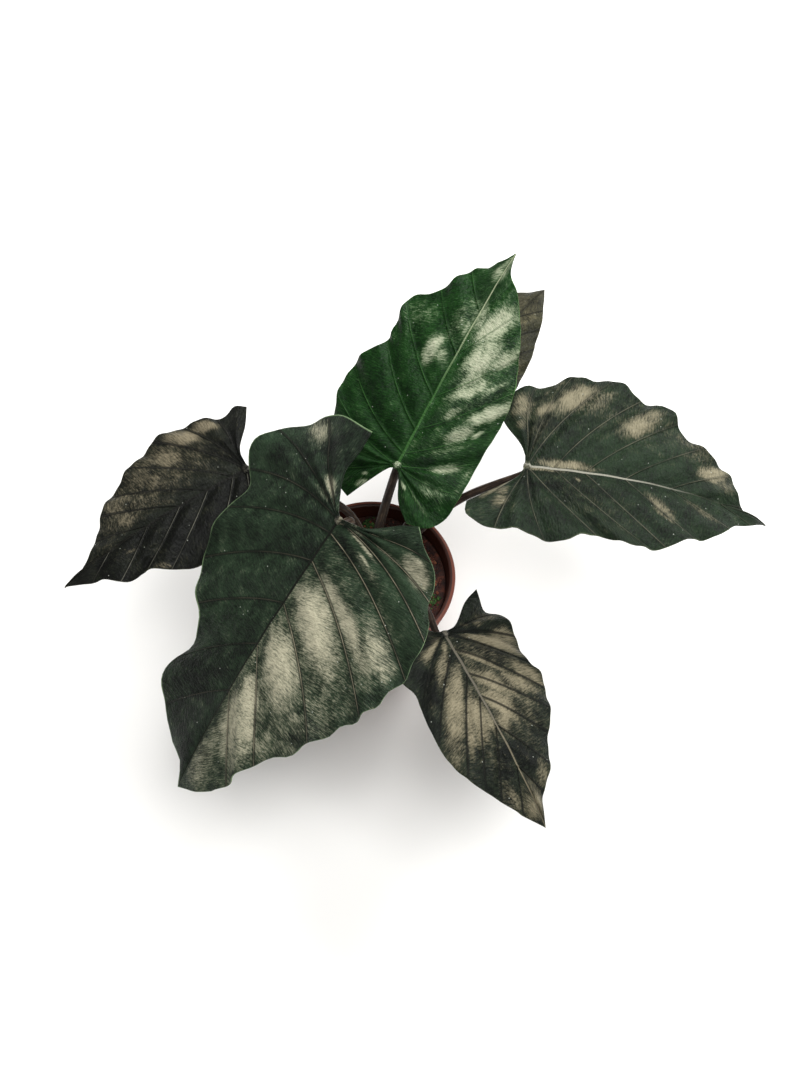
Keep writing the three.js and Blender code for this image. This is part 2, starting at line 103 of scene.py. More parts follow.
# Each leaf: where its stalk joins the blade, where the midrib heads and how it droops, and the two
# halves of the blade. Outlines are (across, along) from the joint on the flattened blade: outer
# runs from the tip to the end of the back lobe, inner from there to the joint. vein_roots and
# vein_ends are where the side veins leave the midrib and reach the margin. Places on a half are
# (vein place, share of the way out): sheen lists its bright patches as (place, share, reach along
# the leaf, reach outwards, strength) and, where it leans towards the joint, how much; shades lists
# lighter and darker stretches of its ground in the same way.
# The sheen patches are painted highlight: the pale reflection of the velvet, laid into its colour;
# light and shade are the lit and the shaded colour of that painted sheen. A half's tone and its shades
# are partly the leaf's own colour and partly painted shade, darker where a half or a stretch faces away
# from the light. How pale the side veins are painted (cord) is partly their own colour and partly
# painted highlight, and the dark along the creases beside them is painted shade.
LEAVES = [
    {
        "name": "front",
        "joint": (-16, -19, 215),
        "heading": -129, "pitch": 26, "droop": 22, "lobe_pitch": -12, "roll": 12, "twist": -4,
        "length": 205, "vein_lift": 2.4, "wave": 3.2, "wave_count": 5.5, "wave_phase": 0.3,
        "vein_roots": (125, 90, 60, 29, 9, 0, 0, 0),
        "dark": 0x0b100b, "mid": 0x2b3c2a, "light": 0xafaa92, "shade": 0x4f5745,
        "vein": 0xa59d84, "midrib": 0x11130e, "midrib_tip": 0x1b1d16,
        "rim": 0x86a074, "knuckle": 0x8a8677, "crease": 0.85, "scallops": 12,
        "left": {
            "fold": -6, "curl": 13, "lobe_fold": -15, "tone": 0.42, "cord": 0.7,
            "scallop": 0.012, "rim_width": 0.5,
            "vein_ends": (0.16, 0.26, 0.42, 0.55, 0.67, 0.76, 0.84, 0.92),
            "outer": [(0, 205), (17, 193), (30, 178), (40, 152), (59, 127), (70, 107), (84, 81),
                (91, 58), (92, 33), (88, 16), (79, 6), (74, -9), (62, -17), (51, -25)],
            "inner": [(51, -25), (41, -20), (20, -6), (0, 0)],
            "sheen": [(2.4, 0.5, 2.9, 0.8, 0.45), (1.6, 0.85, 0.9, 0.2, 0.6, 0.3),
                (0.5, 0.5, 0.35, 0.6, 0.6), (1.2, 0.42, 0.5, 0.45, 0.9, 0.3),
                (1.75, 0.5, 0.42, 0.42, 1, 0.2), (2.6, 0.38, 0.5, 0.4, 1, 0.2),
                (2.75, 0.75, 0.35, 0.2, 0.5, 0.3), (3.55, 0.38, 0.5, 0.4, 1, 0.15),
                (3.5, 0.78, 0.45, 0.15, 0.45, 0.3), (4.2, 0.48, 0.28, 0.42, 0.95, 0.35),
                (4.65, 0.78, 0.32, 0.18, 0.8, 0.3), (5.4, 0.42, 0.3, 0.2, 0.4),
                (5.55, 0.35, 0.1, 0.07, 0.9), (5.88, 0.27, 0.08, 0.17, 1, -0.2),
                (6.4, 0.2, 0.6, 0.1, 0.4), (7, 0.22, 0.5, 0.07, 0.65),
                (7.35, 0.82, 0.5, 0.15, 1, 0.5), (7, 0.55, 0.16, 0.24, 0.5, 0.6),
                (8.5, 0.2, 0.6, 0.08, 0.45)],
            "shades": [(0.5, 0.3, 0.4, 0.4, -0.25), (3, 0.92, 0.5, 0.1, -0.25),
                (5.2, 0.15, 0.5, 0.15, -0.3), (6.5, 0.6, 1.4, 0.3, 0.15),
                (8.6, 0.7, 0.5, 0.25, -0.15)],
        },
        "right": {
            "fold": 5, "curl": 4, "lobe_fold": 5, "tone": 0.2, "cord": 0.1,
            "scallop": 0.003, "rim_width": 1.6,
            "vein_ends": (0.16, 0.26, 0.38, 0.47, 0.58, 0.67, 0.78, 0.89),
            "outer": [(0, 205), (8, 188), (22, 185), (41, 168), (53, 150), (47, 127), (49, 107),
                (69, 89), (82, 68), (82, 44), (79, 22), (98, -1), (90, -20), (76, -34),
                (52, -53), (20, -56)],
            "inner": [(20, -56), (18, -42), (18, -26), (9, -11), (0, 0)],
            "sheen": [(7.75, 0.86, 0.3, 0.17, 0.75), (7.95, 0.27, 0.42, 0.15, 0.9, 0.3),
                (8.4, 0.3, 0.35, 0.12, 0.7), (7, 0.22, 0.6, 0.1, 0.35)],
            "shades": [(1.3, 0.6, 0.8, 0.45, -0.2), (4, 0.6, 2, 0.4, 0.18),
                (6.3, 0.92, 1.2, 0.14, 0.35), (8.3, 0.65, 0.6, 0.2, -0.15)],
        },
        "stalk": {"angle": -140, "radius": 3.4, "tip_radius": 2.9, "central": False,
                  "via": [(-13, -2, 130), (-18, -9, 175)]},
    },
    {
        "name": "young",
        "joint": (19, 37, 188),
        "heading": 59, "pitch": -26, "droop": 16, "lobe_pitch": 0, "roll": -2, "twist": 0,
        "length": 163, "vein_lift": 2.2, "wave": 2.4, "wave_count": 6, "wave_phase": 1.1,
        "vein_roots": (114, 82, 50, 26, 9, 0, 0, 0),
        "dark": 0x061906, "mid": 0x1b3f16, "light": 0xa9ac93, "shade": 0x46613d,
        "vein": 0x3f6a34, "midrib": 0x33562a, "midrib_tip": 0x8c9476,
        "rim": 0x5f8549, "knuckle": 0xc9c9b4, "crease": 0.3, "scallops": 14,
        "left": {
            "fold": 6, "curl": 8, "lobe_fold": 0, "tone": 0.3, "cord": 0.75,
            "scallop": 0.014, "rim_width": 0.8,
            "vein_ends": (0.13, 0.23, 0.34, 0.46, 0.58, 0.68, 0.79, 0.9),
            "outer": [(0, 163), (10, 149), (21, 141), (35, 120), (50, 109), (53, 84), (53, 70),
                (65, 55), (68, 38), (63, 19), (60, 1), (49, -13), (36, -27), (22, -33)],
            "inner": [(22, -33), (16, -22), (6, -6), (0, 0)],
            "sheen": [(0.35, 0.35, 0.3, 0.4, 0.7), (1.3, 0.1, 0.6, 0.08, 0.55),
                (2.52, 0.36, 0.4, 0.12, 1), (2.35, 0.2, 0.2, 0.15, 0.6, 0.3),
                (1.5, 0.28, 0.8, 0.24, 0.4, 0.5), (2.6, 0.78, 0.6, 0.18, 0.3),
                (8.9, 0.65, 0.22, 0.12, 0.7), (8.5, 0.5, 0.18, 0.06, 0.8)],
            "shades": [(5, 0.6, 1, 0.3, -0.12), (2, 0.8, 1, 0.2, 0.12)],
        },
        "right": {
            "fold": 4, "curl": 12, "lobe_fold": 0, "tone": 0.3, "cord": 0.6,
            "vein_ends": (0.1, 0.2, 0.34, 0.45, 0.56, 0.68, 0.79, 0.9),
            "outer": [(0, 163), (5, 147), (15, 137), (26, 121), (37, 99), (44, 81), (48, 62), (47, 30),
                (46, -2), (44, -18), (36, -28), (23, -31)],
            "inner": [(23, -31), (12, -21), (5, -8), (0, 0)],
            "sheen": [(3, 0.6, 2.3, 0.6, 0.25), (0.3, 0.5, 0.4, 0.6, 0.65),
                (1.3, 0.2, 0.4, 0.24, 0.75, 0.9), (1.9, 0.62, 0.45, 0.42, 1, 0.3),
                (2.5, 0.52, 0.5, 0.32, 1, 0.2), (2.9, 0.82, 0.22, 0.2, 0.85, 0.3),
                (3, 0.45, 0.3, 0.22, 0.85), (3.3, 0.46, 0.3, 0.28, 0.95, 0.3),
                (3.57, 0.78, 0.14, 0.2, 0.65), (3.85, 0.38, 0.24, 0.12, 0.6),
                (4.36, 0.8, 0.3, 0.28, 1, 0.3), (4.7, 0.56, 0.4, 0.17, 0.9, 0.4),
                (4.95, 0.78, 0.15, 0.07, 0.9), (5.3, 0.5, 0.3, 0.28, 0.4),
                (6.1, 0.62, 0.24, 0.22, 0.85, 0.2), (6.6, 0.92, 0.5, 0.07, 0.35),
                (7.25, 0.6, 0.35, 0.32, 0.45), (8, 0.55, 0.1, 0.3, 0.5, 0.2),
                (8.45, 0.3, 0.25, 0.08, 0.9)],
            "shades": [(3.8, 0.75, 0.2, 0.3, -0.25), (5.6, 0.2, 1.2, 0.2, -0.12),
                (2.5, 0.08, 2, 0.08, 0.25)],
        },
        "stalk": {"angle": 0, "radius": 3.6, "tip_radius": 2.9, "central": True,
                  "via": [(6.4, 20, 135), (12.7, 30, 159)]},
    },
    {
        "name": "right",
        "joint": (103, 35, 190),
        "heading": -8, "pitch": -2, "droop": 38, "lobe_pitch": 0, "roll": -8, "twist": 8,
        "length": 172, "vein_lift": 2.2, "wave": 3, "wave_count": 6.5, "wave_phase": 2,
        "vein_roots": (130, 94, 63, 37, 17, 0, 0, 0),
        "dark": 0x0d100c, "mid": 0x20301e, "light": 0x878069, "shade": 0x403f31,
        "vein": 0x75735f, "midrib": 0x8a887c, "midrib_tip": 0x2b3226,
        "rim": 0x566146, "knuckle": 0x8f8d80, "crease": 0.45, "scallops": 12,
        "left": {
            "fold": -6, "curl": 4, "lobe_fold": 6, "tone": 0.36, "cord": 0.5,
            "scallop": 0.005, "rim_width": 0.8,
            "vein_ends": (0.1, 0.2, 0.31, 0.41, 0.54, 0.64, 0.76, 0.87),
            "outer": [(0, 172), (2, 152), (13, 142), (25, 139), (32, 123), (46, 103), (60, 93),
                (66, 74), (79, 50), (77, 27), (70, 8), (65, -10), (50, -23)],
            "inner": [(50, -23), (34, -17), (16, -5), (0, 0)],
            "sheen": [(6.9, 0.65, 1.3, 0.5, 0.35), (4.6, 0.75, 1.6, 0.4, 0.22),
                (1.7, 0.8, 0.35, 0.22, 0.55, 0.2), (2.1, 0.78, 0.38, 0.25, 1, 0.2),
                (3.1, 0.95, 0.7, 0.08, 0.5), (2.8, 0.86, 0.35, 0.15, 0.4),
                (4.37, 0.72, 0.34, 0.22, 0.95, 0.2), (5.6, 0.75, 0.3, 0.15, 0.55, 0.4),
                (6.4, 0.75, 0.62, 0.2, 1, 0.15), (7.2, 0.63, 0.6, 0.1, 0.85, 0.2),
                (8.2, 0.73, 0.48, 0.2, 0.75, 0.4), (8.3, 0.5, 0.35, 0.09, 0.65),
                (4.8, 0.06, 1.1, 0.06, 0.95)],
            "shades": [(3.7, 0.45, 1.4, 0.4, 0.2), (7.2, 0.3, 1.2, 0.25, -0.25)],
        },
        "right": {
            "fold": -10, "curl": 10, "lobe_fold": 0, "tone": 0.32, "cord": 0.6,
            "vein_ends": (0.08, 0.19, 0.32, 0.41, 0.47, 0.6, 0.74, 0.87),
            "outer": [(0, 172), (8, 155), (14, 141), (29, 124), (39, 104), (50, 86), (55, 64),
                (50, 45), (60, 25), (58, 2), (57, -14), (50, -35), (39, -36)],
            "inner": [(39, -36), (22, -17), (9, -4), (0, 0)],
            "sheen": [(2.05, 0.6, 0.16, 0.32, 0.5), (2.9, 0.5, 0.16, 0.24, 0.8, 0.2),
                (3.12, 0.66, 0.16, 0.15, 0.6), (4.6, 0.17, 0.1, 0.05, 0.9),
                (5, 0.5, 1.4, 0.5, 0.16), (8.2, 0.62, 0.3, 0.12, 0.75, 0.4),
                (8.4, 0.5, 0.3, 0.1, 0.7, 0.4), (8.82, 0.5, 0.2, 0.34, 0.95, 0.3),
                (6, 0.03, 1.5, 0.04, 0.8)],
            "shades": [(1, 0.5, 0.8, 0.6, 0.12), (5.2, 0.3, 1.2, 0.3, -0.12),
                (7.3, 0.25, 0.8, 0.3, -0.2)],
        },
        "stalk": {"angle": -25, "radius": 3.2, "tip_radius": 2.5, "central": False,
                  "via": [(31, 13, 138), (61, 25, 165)]},
    },
    {
        "name": "left",
        "joint": (-83, 49, 164),
        "heading": 212, "pitch": 2, "droop": 24, "lobe_pitch": -8, "roll": -5, "twist": 0,
        "length": 145, "vein_lift": 2, "wave": 2.4, "wave_count": 6, "wave_phase": 0.7,
        "vein_roots": (105, 75, 50, 29, 10, 0, 0, 0),
        "dark": 0x0a0b09, "mid": 0x1e221a, "light": 0x7f7661, "shade": 0x3c3a2e,
        "vein": 0x727165, "midrib": 0x12120f, "midrib_tip": 0x1a1a16,
        "rim": 0x474a39, "knuckle": 0x4c4a42, "crease": 0.85, "scallops": 12,
        "left": {
            "fold": 4, "curl": 10, "lobe_fold": -14, "tone": 0.05, "cord": 0.75,
            "scallop": 0.005, "rim_width": 0.8,
            "vein_ends": (0.1, 0.21, 0.31, 0.39, 0.52, 0.64, 0.76, 0.88),
            "outer": [(0, 145), (10, 128), (14, 118), (25, 106), (26, 90), (38, 72), (45, 52),
                (49, 30), (48, 8), (43, -14), (33, -28), (22, -31)],
            "inner": [(22, -31), (13, -20), (4, -6), (0, 0)],
            "sheen": [(3.6, 0.96, 0.6, 0.05, 0.4), (1.8, 0.45, 0.15, 0.06, 0.5)],
            "shades": [(1.5, 0.8, 1, 0.2, 0.15)],
        },
        "right": {
            "fold": 2, "curl": 4, "lobe_fold": 0, "tone": 0.38, "cord": 0.12,
            "vein_ends": (0.1, 0.2, 0.29, 0.37, 0.49, 0.62, 0.74, 0.87),
            "outer": [(0, 145), (2, 130), (7, 117), (19, 106), (32, 91), (41, 76), (48, 60), (55, 42),
                (55, 27), (52, 10), (46, -6), (49, -16), (44, -24)],
            "inner": [(44, -24), (31, -16), (16, -4), (0, 0)],
            "sheen": [(4.2, 0.72, 3.4, 0.5, 0.42, 0.3), (1.2, 0.4, 0.5, 0.5, 0.3, 0.6),
                (2.6, 0.6, 0.42, 0.3, 0.62, 0.9), (3.4, 0.86, 0.7, 0.18, 0.55, 0.9),
                (3.4, 0.4, 0.3, 0.25, 0.35, 0.9), (4.4, 0.68, 0.42, 0.3, 0.6, 0.9),
                (5.4, 0.75, 0.48, 0.22, 0.75, 0.8), (6.5, 0.8, 0.7, 0.18, 1, 0.2),
                (7.4, 0.85, 0.55, 0.13, 0.95, 0.4)],
            "shades": [(8.5, 0.5, 0.6, 0.5, -0.35), (7, 0.3, 1.2, 0.25, -0.3)],
        },
        "stalk": {"angle": 120, "radius": 3.1, "tip_radius": 2.4, "central": False,
                  "via": [(-7, 21, 130), (-21, 33, 143), (-52, 41, 148)]},
    },
    {
        "name": "low",
        "joint": (49, -66, 152),
        "heading": -62, "pitch": -1, "droop": 38, "lobe_pitch": -8, "roll": -14, "twist": 6,
        "length": 135, "vein_lift": 2, "wave": 2, "wave_count": 5, "wave_phase": 1.6,
        "vein_roots": (92, 65, 45, 29, 11, 0, 0, 0),
        "dark": 0x0a0d0a, "mid": 0x222a1f, "light": 0x847c66, "shade": 0x444233,
        "vein": 0x2c281e, "midrib": 0x5b574c, "midrib_tip": 0x6d6654,
        "rim": 0x485036, "knuckle": 0x77736a, "crease": 0.85, "scallops": 12,
        "left": {
            "fold": 8, "curl": 2, "lobe_fold": 0, "tone": 0.32, "cord": 0.3,
            "vein_ends": (0.12, 0.22, 0.33, 0.42, 0.5, 0.62, 0.74, 0.86),
            "outer": [(0, 135), (6, 120), (19, 105), (34, 82), (44, 65), (49, 50), (45, 38), (48, 18),
                (48, 0), (39, -8), (42, -25)],
            "inner": [(42, -25), (28, -18), (11, -4), (0, 0)],
            "sheen": [(4.2, 0.45, 2.6, 0.6, 0.4), (0.6, 0.5, 0.42, 0.6, 0.8, 0.2),
                (1.4, 0.85, 0.7, 0.17, 0.6, 0.5), (2.3, 0.2, 0.45, 0.18, 0.85, 0.8),
                (3, 0.3, 0.62, 0.32, 1, 0.2), (3.9, 0.3, 0.52, 0.34, 1),
                (4.5, 0.66, 0.46, 0.28, 0.9, 0.6), (4.85, 0.3, 0.25, 0.34, 0.95, -0.4),
                (5.2, 0.82, 0.4, 0.22, 0.8, 0.4), (6.35, 0.6, 0.46, 0.46, 1, 0.2),
                (6.9, 0.82, 0.46, 0.2, 0.8, 0.3), (7.5, 0.5, 0.35, 0.08, 0.6),
                (7.8, 0.35, 0.6, 0.08, 0.6), (7.95, 0.72, 0.46, 0.22, 0.55, 0.5)],
            "shades": [(1.5, 0.35, 0.5, 0.4, -0.3, 0.9), (2.6, 0.8, 0.8, 0.2, -0.1),
                (5.5, 0.45, 0.4, 0.4, -0.3, 0.6)],
        },
        "right": {
            "fold": -4, "curl": 6, "lobe_fold": 0, "tone": 0.3, "cord": 0.35,
            "vein_ends": (0.1, 0.19, 0.26, 0.33, 0.47, 0.6, 0.73, 0.87),
            "outer": [(0, 135), (11, 120), (21, 104), (33, 86), (40, 65), (41, 50), (38, 32), (44, 16),
                (44, -3), (38, -17), (27, -26)],
            "inner": [(27, -26), (17, -17), (7, -5), (0, 0)],
            "sheen": [(3.8, 0.4, 2.2, 0.55, 0.35), (0.55, 0.5, 0.42, 0.6, 0.65, 0.3),
                (1.4, 0.82, 0.7, 0.2, 0.65, 0.5), (2.5, 0.14, 0.6, 0.14, 0.9, 1.2),
                (3.2, 0.34, 0.8, 0.3, 1, 0.8), (3.75, 0.45, 0.36, 0.38, 0.95),
                (4.5, 0.5, 0.52, 0.48, 0.95), (5.35, 0.34, 0.46, 0.26, 0.8, 0.3),
                (5.6, 0.13, 0.3, 0.08, 0.85), (6.5, 0.36, 0.36, 0.26, 0.95, 0.3),
                (6.9, 0.2, 0.4, 0.13, 0.8), (8, 0.5, 0.8, 0.4, 0.45)],
            "shades": [(1.7, 0.35, 0.5, 0.4, -0.3, 0.9), (5.8, 0.8, 0.7, 0.28, -0.3)],
        },
        "stalk": {"angle": -75, "radius": 3.1, "tip_radius": 2.3, "central": False,
                  "via": [(16, -19, 121), (37, -43, 141)]},
    },
    {
        "name": "back",
        "joint": (42, 92, 163),
        "heading": 52.5, "pitch": -10, "droop": 22, "lobe_pitch": 0, "roll": 0, "twist": 0,
        "length": 144, "vein_lift": 2, "wave": 2.2, "wave_count": 5.5, "wave_phase": 2.6,
        "vein_roots": (105, 75, 48, 25, 8, 0, 0, 0),
        "dark": 0x171812, "mid": 0x3a3a2a, "light": 0x7f785c, "shade": 0x4e4a38,
        "vein": 0x403e30, "midrib": 0x24231b, "midrib_tip": 0x24231b,
        "rim": 0x5c5b44, "knuckle": 0x4c4a42, "crease": 0.85, "scallops": 10,
        "left": {
            "fold": 6, "curl": 10, "lobe_fold": 0, "tone": 0.4, "cord": 0.2,
            "vein_ends": (0.12, 0.22, 0.33, 0.45, 0.56, 0.67, 0.78, 0.89),
            "outer": [(0, 144), (8, 134), (17, 126), (27, 108), (34, 88), (38, 66), (40, 44), (40, 20),
                (36, 0), (29, -16), (20, -25)],
            "inner": [(20, -25), (12, -17), (4, -5), (0, 0)],
            "sheen": [(1, 0.5, 0.9, 0.5, 0.4), (4, 0.6, 0.8, 0.3, 0.5, 0.5)],
            "shades": [],
        },
        "right": {
            "fold": 6, "curl": 10, "lobe_fold": 0, "tone": 0.4, "cord": 0.2,
            "vein_ends": (0.12, 0.22, 0.33, 0.45, 0.56, 0.67, 0.78, 0.89),
            "outer": [(0, 144), (8, 131), (15, 118), (21, 105), (26, 91), (30, 80), (33, 66), (36, 48),
                (38, 28), (37, 8), (33, -8), (26, -20), (19, -26)],
            "inner": [(19, -26), (12, -18), (4, -5), (0, 0)],
            "sheen": [(1, 0.5, 0.9, 0.5, 0.4), (3.5, 0.7, 0.7, 0.2, 0.4, 0.5)],
            "shades": [],
        },
        "stalk": {"angle": 30, "radius": 3.1, "tip_radius": 2.4, "central": False,
                  "via": [(17, 18, 117), (40, 44, 138), (46, 72, 149)]},
    },
]

# The usual scallop and rim width of an edge, and undersides, where all the dark leaves look alike.
for leaf in LEAVES:
    for half in (leaf["left"], leaf["right"]):
        half.setdefault("scallop", 0.003)
        half.setdefault("rim_width", 0.8)
    young = leaf["name"] == "young"
    leaf["under"] = 0x3f5a33 if young else 0x4a5245
    leaf["under_light"] = 0x5b7547 if young else 0x646a58
    leaf["under_vein"] = 0x8fa573 if young else 0x83836c

# The nap lies at a slant to the side veins; one unit of its map in millimetres.
NAP_SLANT = math.radians(36)
FIBRE_UNIT = 100

# What a blade's corners keep for its material, and the colours of its upper face.
BLADE_VALUES = (
    "sheen", "tone", "vein", "from_vein", "from_midrib", "from_margin", "from_joint", "thick")
LEAF_PAINTS = (
    "dark", "mid", "light", "shade", "vein", "midrib", "midrib_tip", "rim", "knuckle")

# Camera, in metres: the photograph's viewing angle and field of view.
CAMERA_PLACE = (0.02082, -0.30855, 0.73757)
CAMERA_TILT = 28.3
CAMERA_LENS = 33.80
PLANT_MIDDLE = (0, 0, 0.15)

# Soft boxes, as name, place and size in metres, and power in watts.
STUDIO_LIGHTS = [
    ("soft_box_back", (0.9, 1.0, 1.3), 0.9, 34),
    ("soft_box_top", (0.3, -0.3, 2.0), 1.3, 38),
]
WORLD_STRENGTH = 0.32


# Smooth paths and spacing

def rounded_line(corners, count=400):
    """A centripetal Catmull-Rom line through the corners, as evenly spaced points."""
    points = np.array(corners, float)
    points = np.vstack([2 * points[0] - points[1], points, 2 * points[-1] - points[-2]])
    stretch = []
    for p0, p1, p2, p3 in zip(points, points[1:], points[2:], points[3:]):
        t1 = np.linalg.norm(p1 - p0) ** 0.5
        t2 = t1 + np.linalg.norm(p2 - p1) ** 0.5
        t3 = t2 + np.linalg.norm(p3 - p2) ** 0.5
        t = np.linspace(t1, t2, 24, endpoint=False)[:, None]
        a1 = (t1 - t) / t1 * p0 + t / t1 * p1
        a2 = (t2 - t) / (t2 - t1) * p1 + (t - t1) / (t2 - t1) * p2
        a3 = (t3 - t) / (t3 - t2) * p2 + (t - t2) / (t3 - t2) * p3
        b1 = (t2 - t) / t2 * a1 + t / t2 * a2
        b2 = (t3 - t) / (t3 - t1) * a2 + (t - t1) / (t3 - t1) * a3
        stretch.append((t2 - t) / (t2 - t1) * b1 + (t - t1) / (t2 - t1) * b2)
    line = np.vstack([*stretch, points[-2]])
    return evenly(line, count)


def evenly(line, count):
    """The same line with its points evenly spaced."""
    run = np.concatenate([[0], np.cumsum(np.linalg.norm(np.diff(line, axis=0), axis=1))])
    steps = np.linspace(0, run[-1], count)
    return np.stack([np.interp(steps, run, line[:, k]) for k in range(line.shape[1])], 1)


def at_share(line, share):
    """Points of an evenly spaced line at shares of its length."""
    steps = np.clip(share, 0, 1) * (len(line) - 1)
    return np.stack([np.interp(steps, np.arange(len(line)), column) for column in line.T], -1)


def smooth_step(value, low, high):
    """0 below low, 1 above high, and a smooth rise between."""
    share = np.clip((value - low) / (high - low), 0, 1)
    return share * share * (3 - 2 * share)


def hump(distance, width):
    """1 at a line, falling off to nothing over about twice the width."""
    return np.exp(-(distance / width) ** 2)


def spread(total, near_start, near_end, even):
    """Shares of lines at set distances from both ends of a length, with even ones between."""
    total = np.maximum(np.asarray(total, float), 1.4 * (near_start[-1] + near_end[-1]))[..., None]
    start = near_start / total
    end = 1 - near_end[::-1] / total
    middle = np.arange(1, even + 1) / (even + 1)
    between = start[..., -1:] + (end[..., :1] - start[..., -1:]) * middle
    return np.concatenate([start, between, end], -1)


# The bent blade

def flat_point(leaf, half, place, share):
    """Flat across and along of a half, at a place among its veins and a share of the way out."""
    place, share = np.broadcast_arrays(place, share)
    outer = rounded_line(half["outer"])
    inner = rounded_line(half["inner"][::-1])
    roots = np.array([leaf["length"], *leaf["vein_roots"], 0])
    ends = np.array([0, *half["vein_ends"], 1])
    last = len(roots) - 1
    fan_start = leaf["vein_roots"].index(0) + 1
    root = np.interp(place, np.arange(last + 1), roots)
    margin = at_share(outer, np.interp(place, np.arange(last + 1), ends))
    across = share * margin[..., 0]
    bow = VEIN_BOW * share * (1 - share) * margin[..., 0]
    along = root + share * (margin[..., 1] - root) - bow
    edge = at_share(inner, share)
    lobe_x, lobe_y = half["inner"][0]
    turn = np.arctan2(margin[..., 1], margin[..., 0]) - math.atan2(lobe_y, lobe_x)
    stretch = np.hypot(margin[..., 0], margin[..., 1]) / math.hypot(lobe_x, lobe_y)
    swung_x = stretch * (edge[..., 0] * np.cos(turn) - edge[..., 1] * np.sin(turn))
    swung_y = stretch * (edge[..., 0] * np.sin(turn) + edge[..., 1] * np.cos(turn))
    lobe = np.clip((place - fan_start) / (last - fan_start), 0, 1) ** 2
    return across * (1 - lobe) + swung_x * lobe, along * (1 - lobe) + swung_y * lobe


def level_ahead(leaf):
    """Level direction in which the midrib heads."""
    heading = math.radians(leaf["heading"])
    return np.array([math.cos(heading), math.sin(heading), 0])


def midrib_pitch(leaf, along):
    """Slope of the midrib below the level at a distance from the joint."""
    share = along / leaf["length"]
    change = np.where(share >= 0, leaf["droop"] * np.abs(share) ** 1.5, leaf["lobe_pitch"] * -share)
    return np.radians(leaf["pitch"] + change)


def midrib_path(leaf, along):
    """How far forward and how far up the midrib is at distances from the joint."""
    steps = np.linspace(-0.6 * leaf["length"], 1.2 * leaf["length"], 1200)
    pitch = midrib_pitch(leaf, steps)
    step = steps[1] - steps[0]
    forward = np.concatenate([[0], np.cumsum((np.cos(pitch[1:]) + np.cos(pitch[:-1])) / 2 * step)])
    up = np.concatenate([[0], np.cumsum(-(np.sin(pitch[1:]) + np.sin(pitch[:-1])) / 2 * step)])
    forward -= np.interp(0, steps, forward)
    up -= np.interp(0, steps, up)
    return np.interp(along, steps, forward), np.interp(along, steps, up)


def bent_point(leaf, side, across, along):
    """Points and upward facings of the bent blade; side is 1 on the right half and -1 on the left."""
    half = leaf["right"] if side > 0 else leaf["left"]
    ahead = level_ahead(leaf)
    rightward = np.array([ahead[1], -ahead[0], 0])
    pitch = midrib_pitch(leaf, along)[..., None]
    normal = np.sin(pitch) * ahead + np.cos(pitch) * np.array([0, 0, 1])
    roll = np.radians(leaf["roll"] + leaf["twist"] * along / leaf["length"])[..., None]
    wide = rightward * np.cos(roll) - normal * np.sin(roll)
    high = normal * np.cos(roll) + rightward * np.sin(roll)
    lobe = np.clip(-along / (0.4 * leaf["length"]), 0, 1.3)
    fold = np.radians(half["fold"] + half["lobe_fold"] * lobe)
    bend = np.radians(half["curl"]) * across / (WIDTH_SHARE * leaf["length"])
    bend = np.maximum(bend, 1e-5)
    out = side * across * (np.sin(fold + bend) - np.sin(fold)) / bend
    lift = across * (np.cos(fold + bend) - np.cos(fold)) / bend
    forward, up = midrib_path(leaf, along)
    point = np.array(leaf["joint"], float) + forward[..., None] * ahead
    point = point + up[..., None] * np.array([0, 0, 1])
    point = point + out[..., None] * wide + lift[..., None] * high
    tilt = (fold + bend)[..., None]
    return point, high * np.cos(tilt) + wide * (side * np.sin(tilt))


def half_lines(leaf, half):
    """Mesh lines of one half, as arrays over (column, row): vein place, share, and distances."""
    last = len(leaf["vein_roots"]) + 1
    samples = 60
    shares = np.linspace(0, 1, samples)
    veins = np.stack(flat_point(leaf, half, np.arange(last + 1)[:, None], shares), -1)
    widths = np.linalg.norm(np.diff(veins, axis=0), axis=-1)
    middle = spread(widths[:, samples // 2], NEAR_VEIN, NEAR_VEIN, EVEN_IN_PANEL)[:, :COLUMNS_IN_PANEL]
    nominal = np.append((np.arange(last)[:, None] + middle).ravel(), last)
    lines = np.stack(flat_point(leaf, half, nominal[:, None], shares), -1)
    reach = np.linalg.norm(np.diff(lines, axis=1), axis=-1).sum(1)
    share = spread(reach, NEAR_MIDRIB, NEAR_MARGIN, EVEN_ROWS)
    place, width, within, panel_before = np.zeros((4, *share.shape))
    for panel in range(last):
        first = panel * COLUMNS_IN_PANEL
        rows = slice(first, first + COLUMNS_IN_PANEL + (panel == last - 1))
        width[rows] = np.interp(share[rows], shares, widths[panel])
        spots = spread(width[rows], NEAR_VEIN, NEAR_VEIN, EVEN_IN_PANEL)
        number = np.arange(len(spots))[:, None, None]
        within[rows] = np.take_along_axis(spots, number, axis=2)[..., 0]
        place[rows] = panel + within[rows]
        if panel:
            panel_before[first] = np.interp(share[first], shares, widths[panel - 1])
    # No side vein follows the tip's end of the first panel or the lobe's edge.
    far = 50.0
    from_tip_side = np.where(place < 1, far, within * width)
    from_base_side = np.where(place >= last - 1, far, (1 - within) * width)
    return {"place": place, "share": share, "aside": within * width, "panel_before": panel_before,
            "reach": reach[:, None], "from_vein": np.minimum(from_tip_side, from_base_side)}


def patch_field(patches, place, share):
    """Strength of a list of soft oval patches over a half; the strongest counts."""
    field = np.zeros_like(place)
    for centre, out, along, outwards, strength, *lean in patches:
        aside = (place - centre - sum(lean) * (share - out)) / along
        far = np.hypot(aside, (share - out) / outwards)
        patch = strength * (1 - smooth_step(far, 0.25, 1.45))
        field = np.where(np.abs(patch) > np.abs(field), patch, field)
    return field


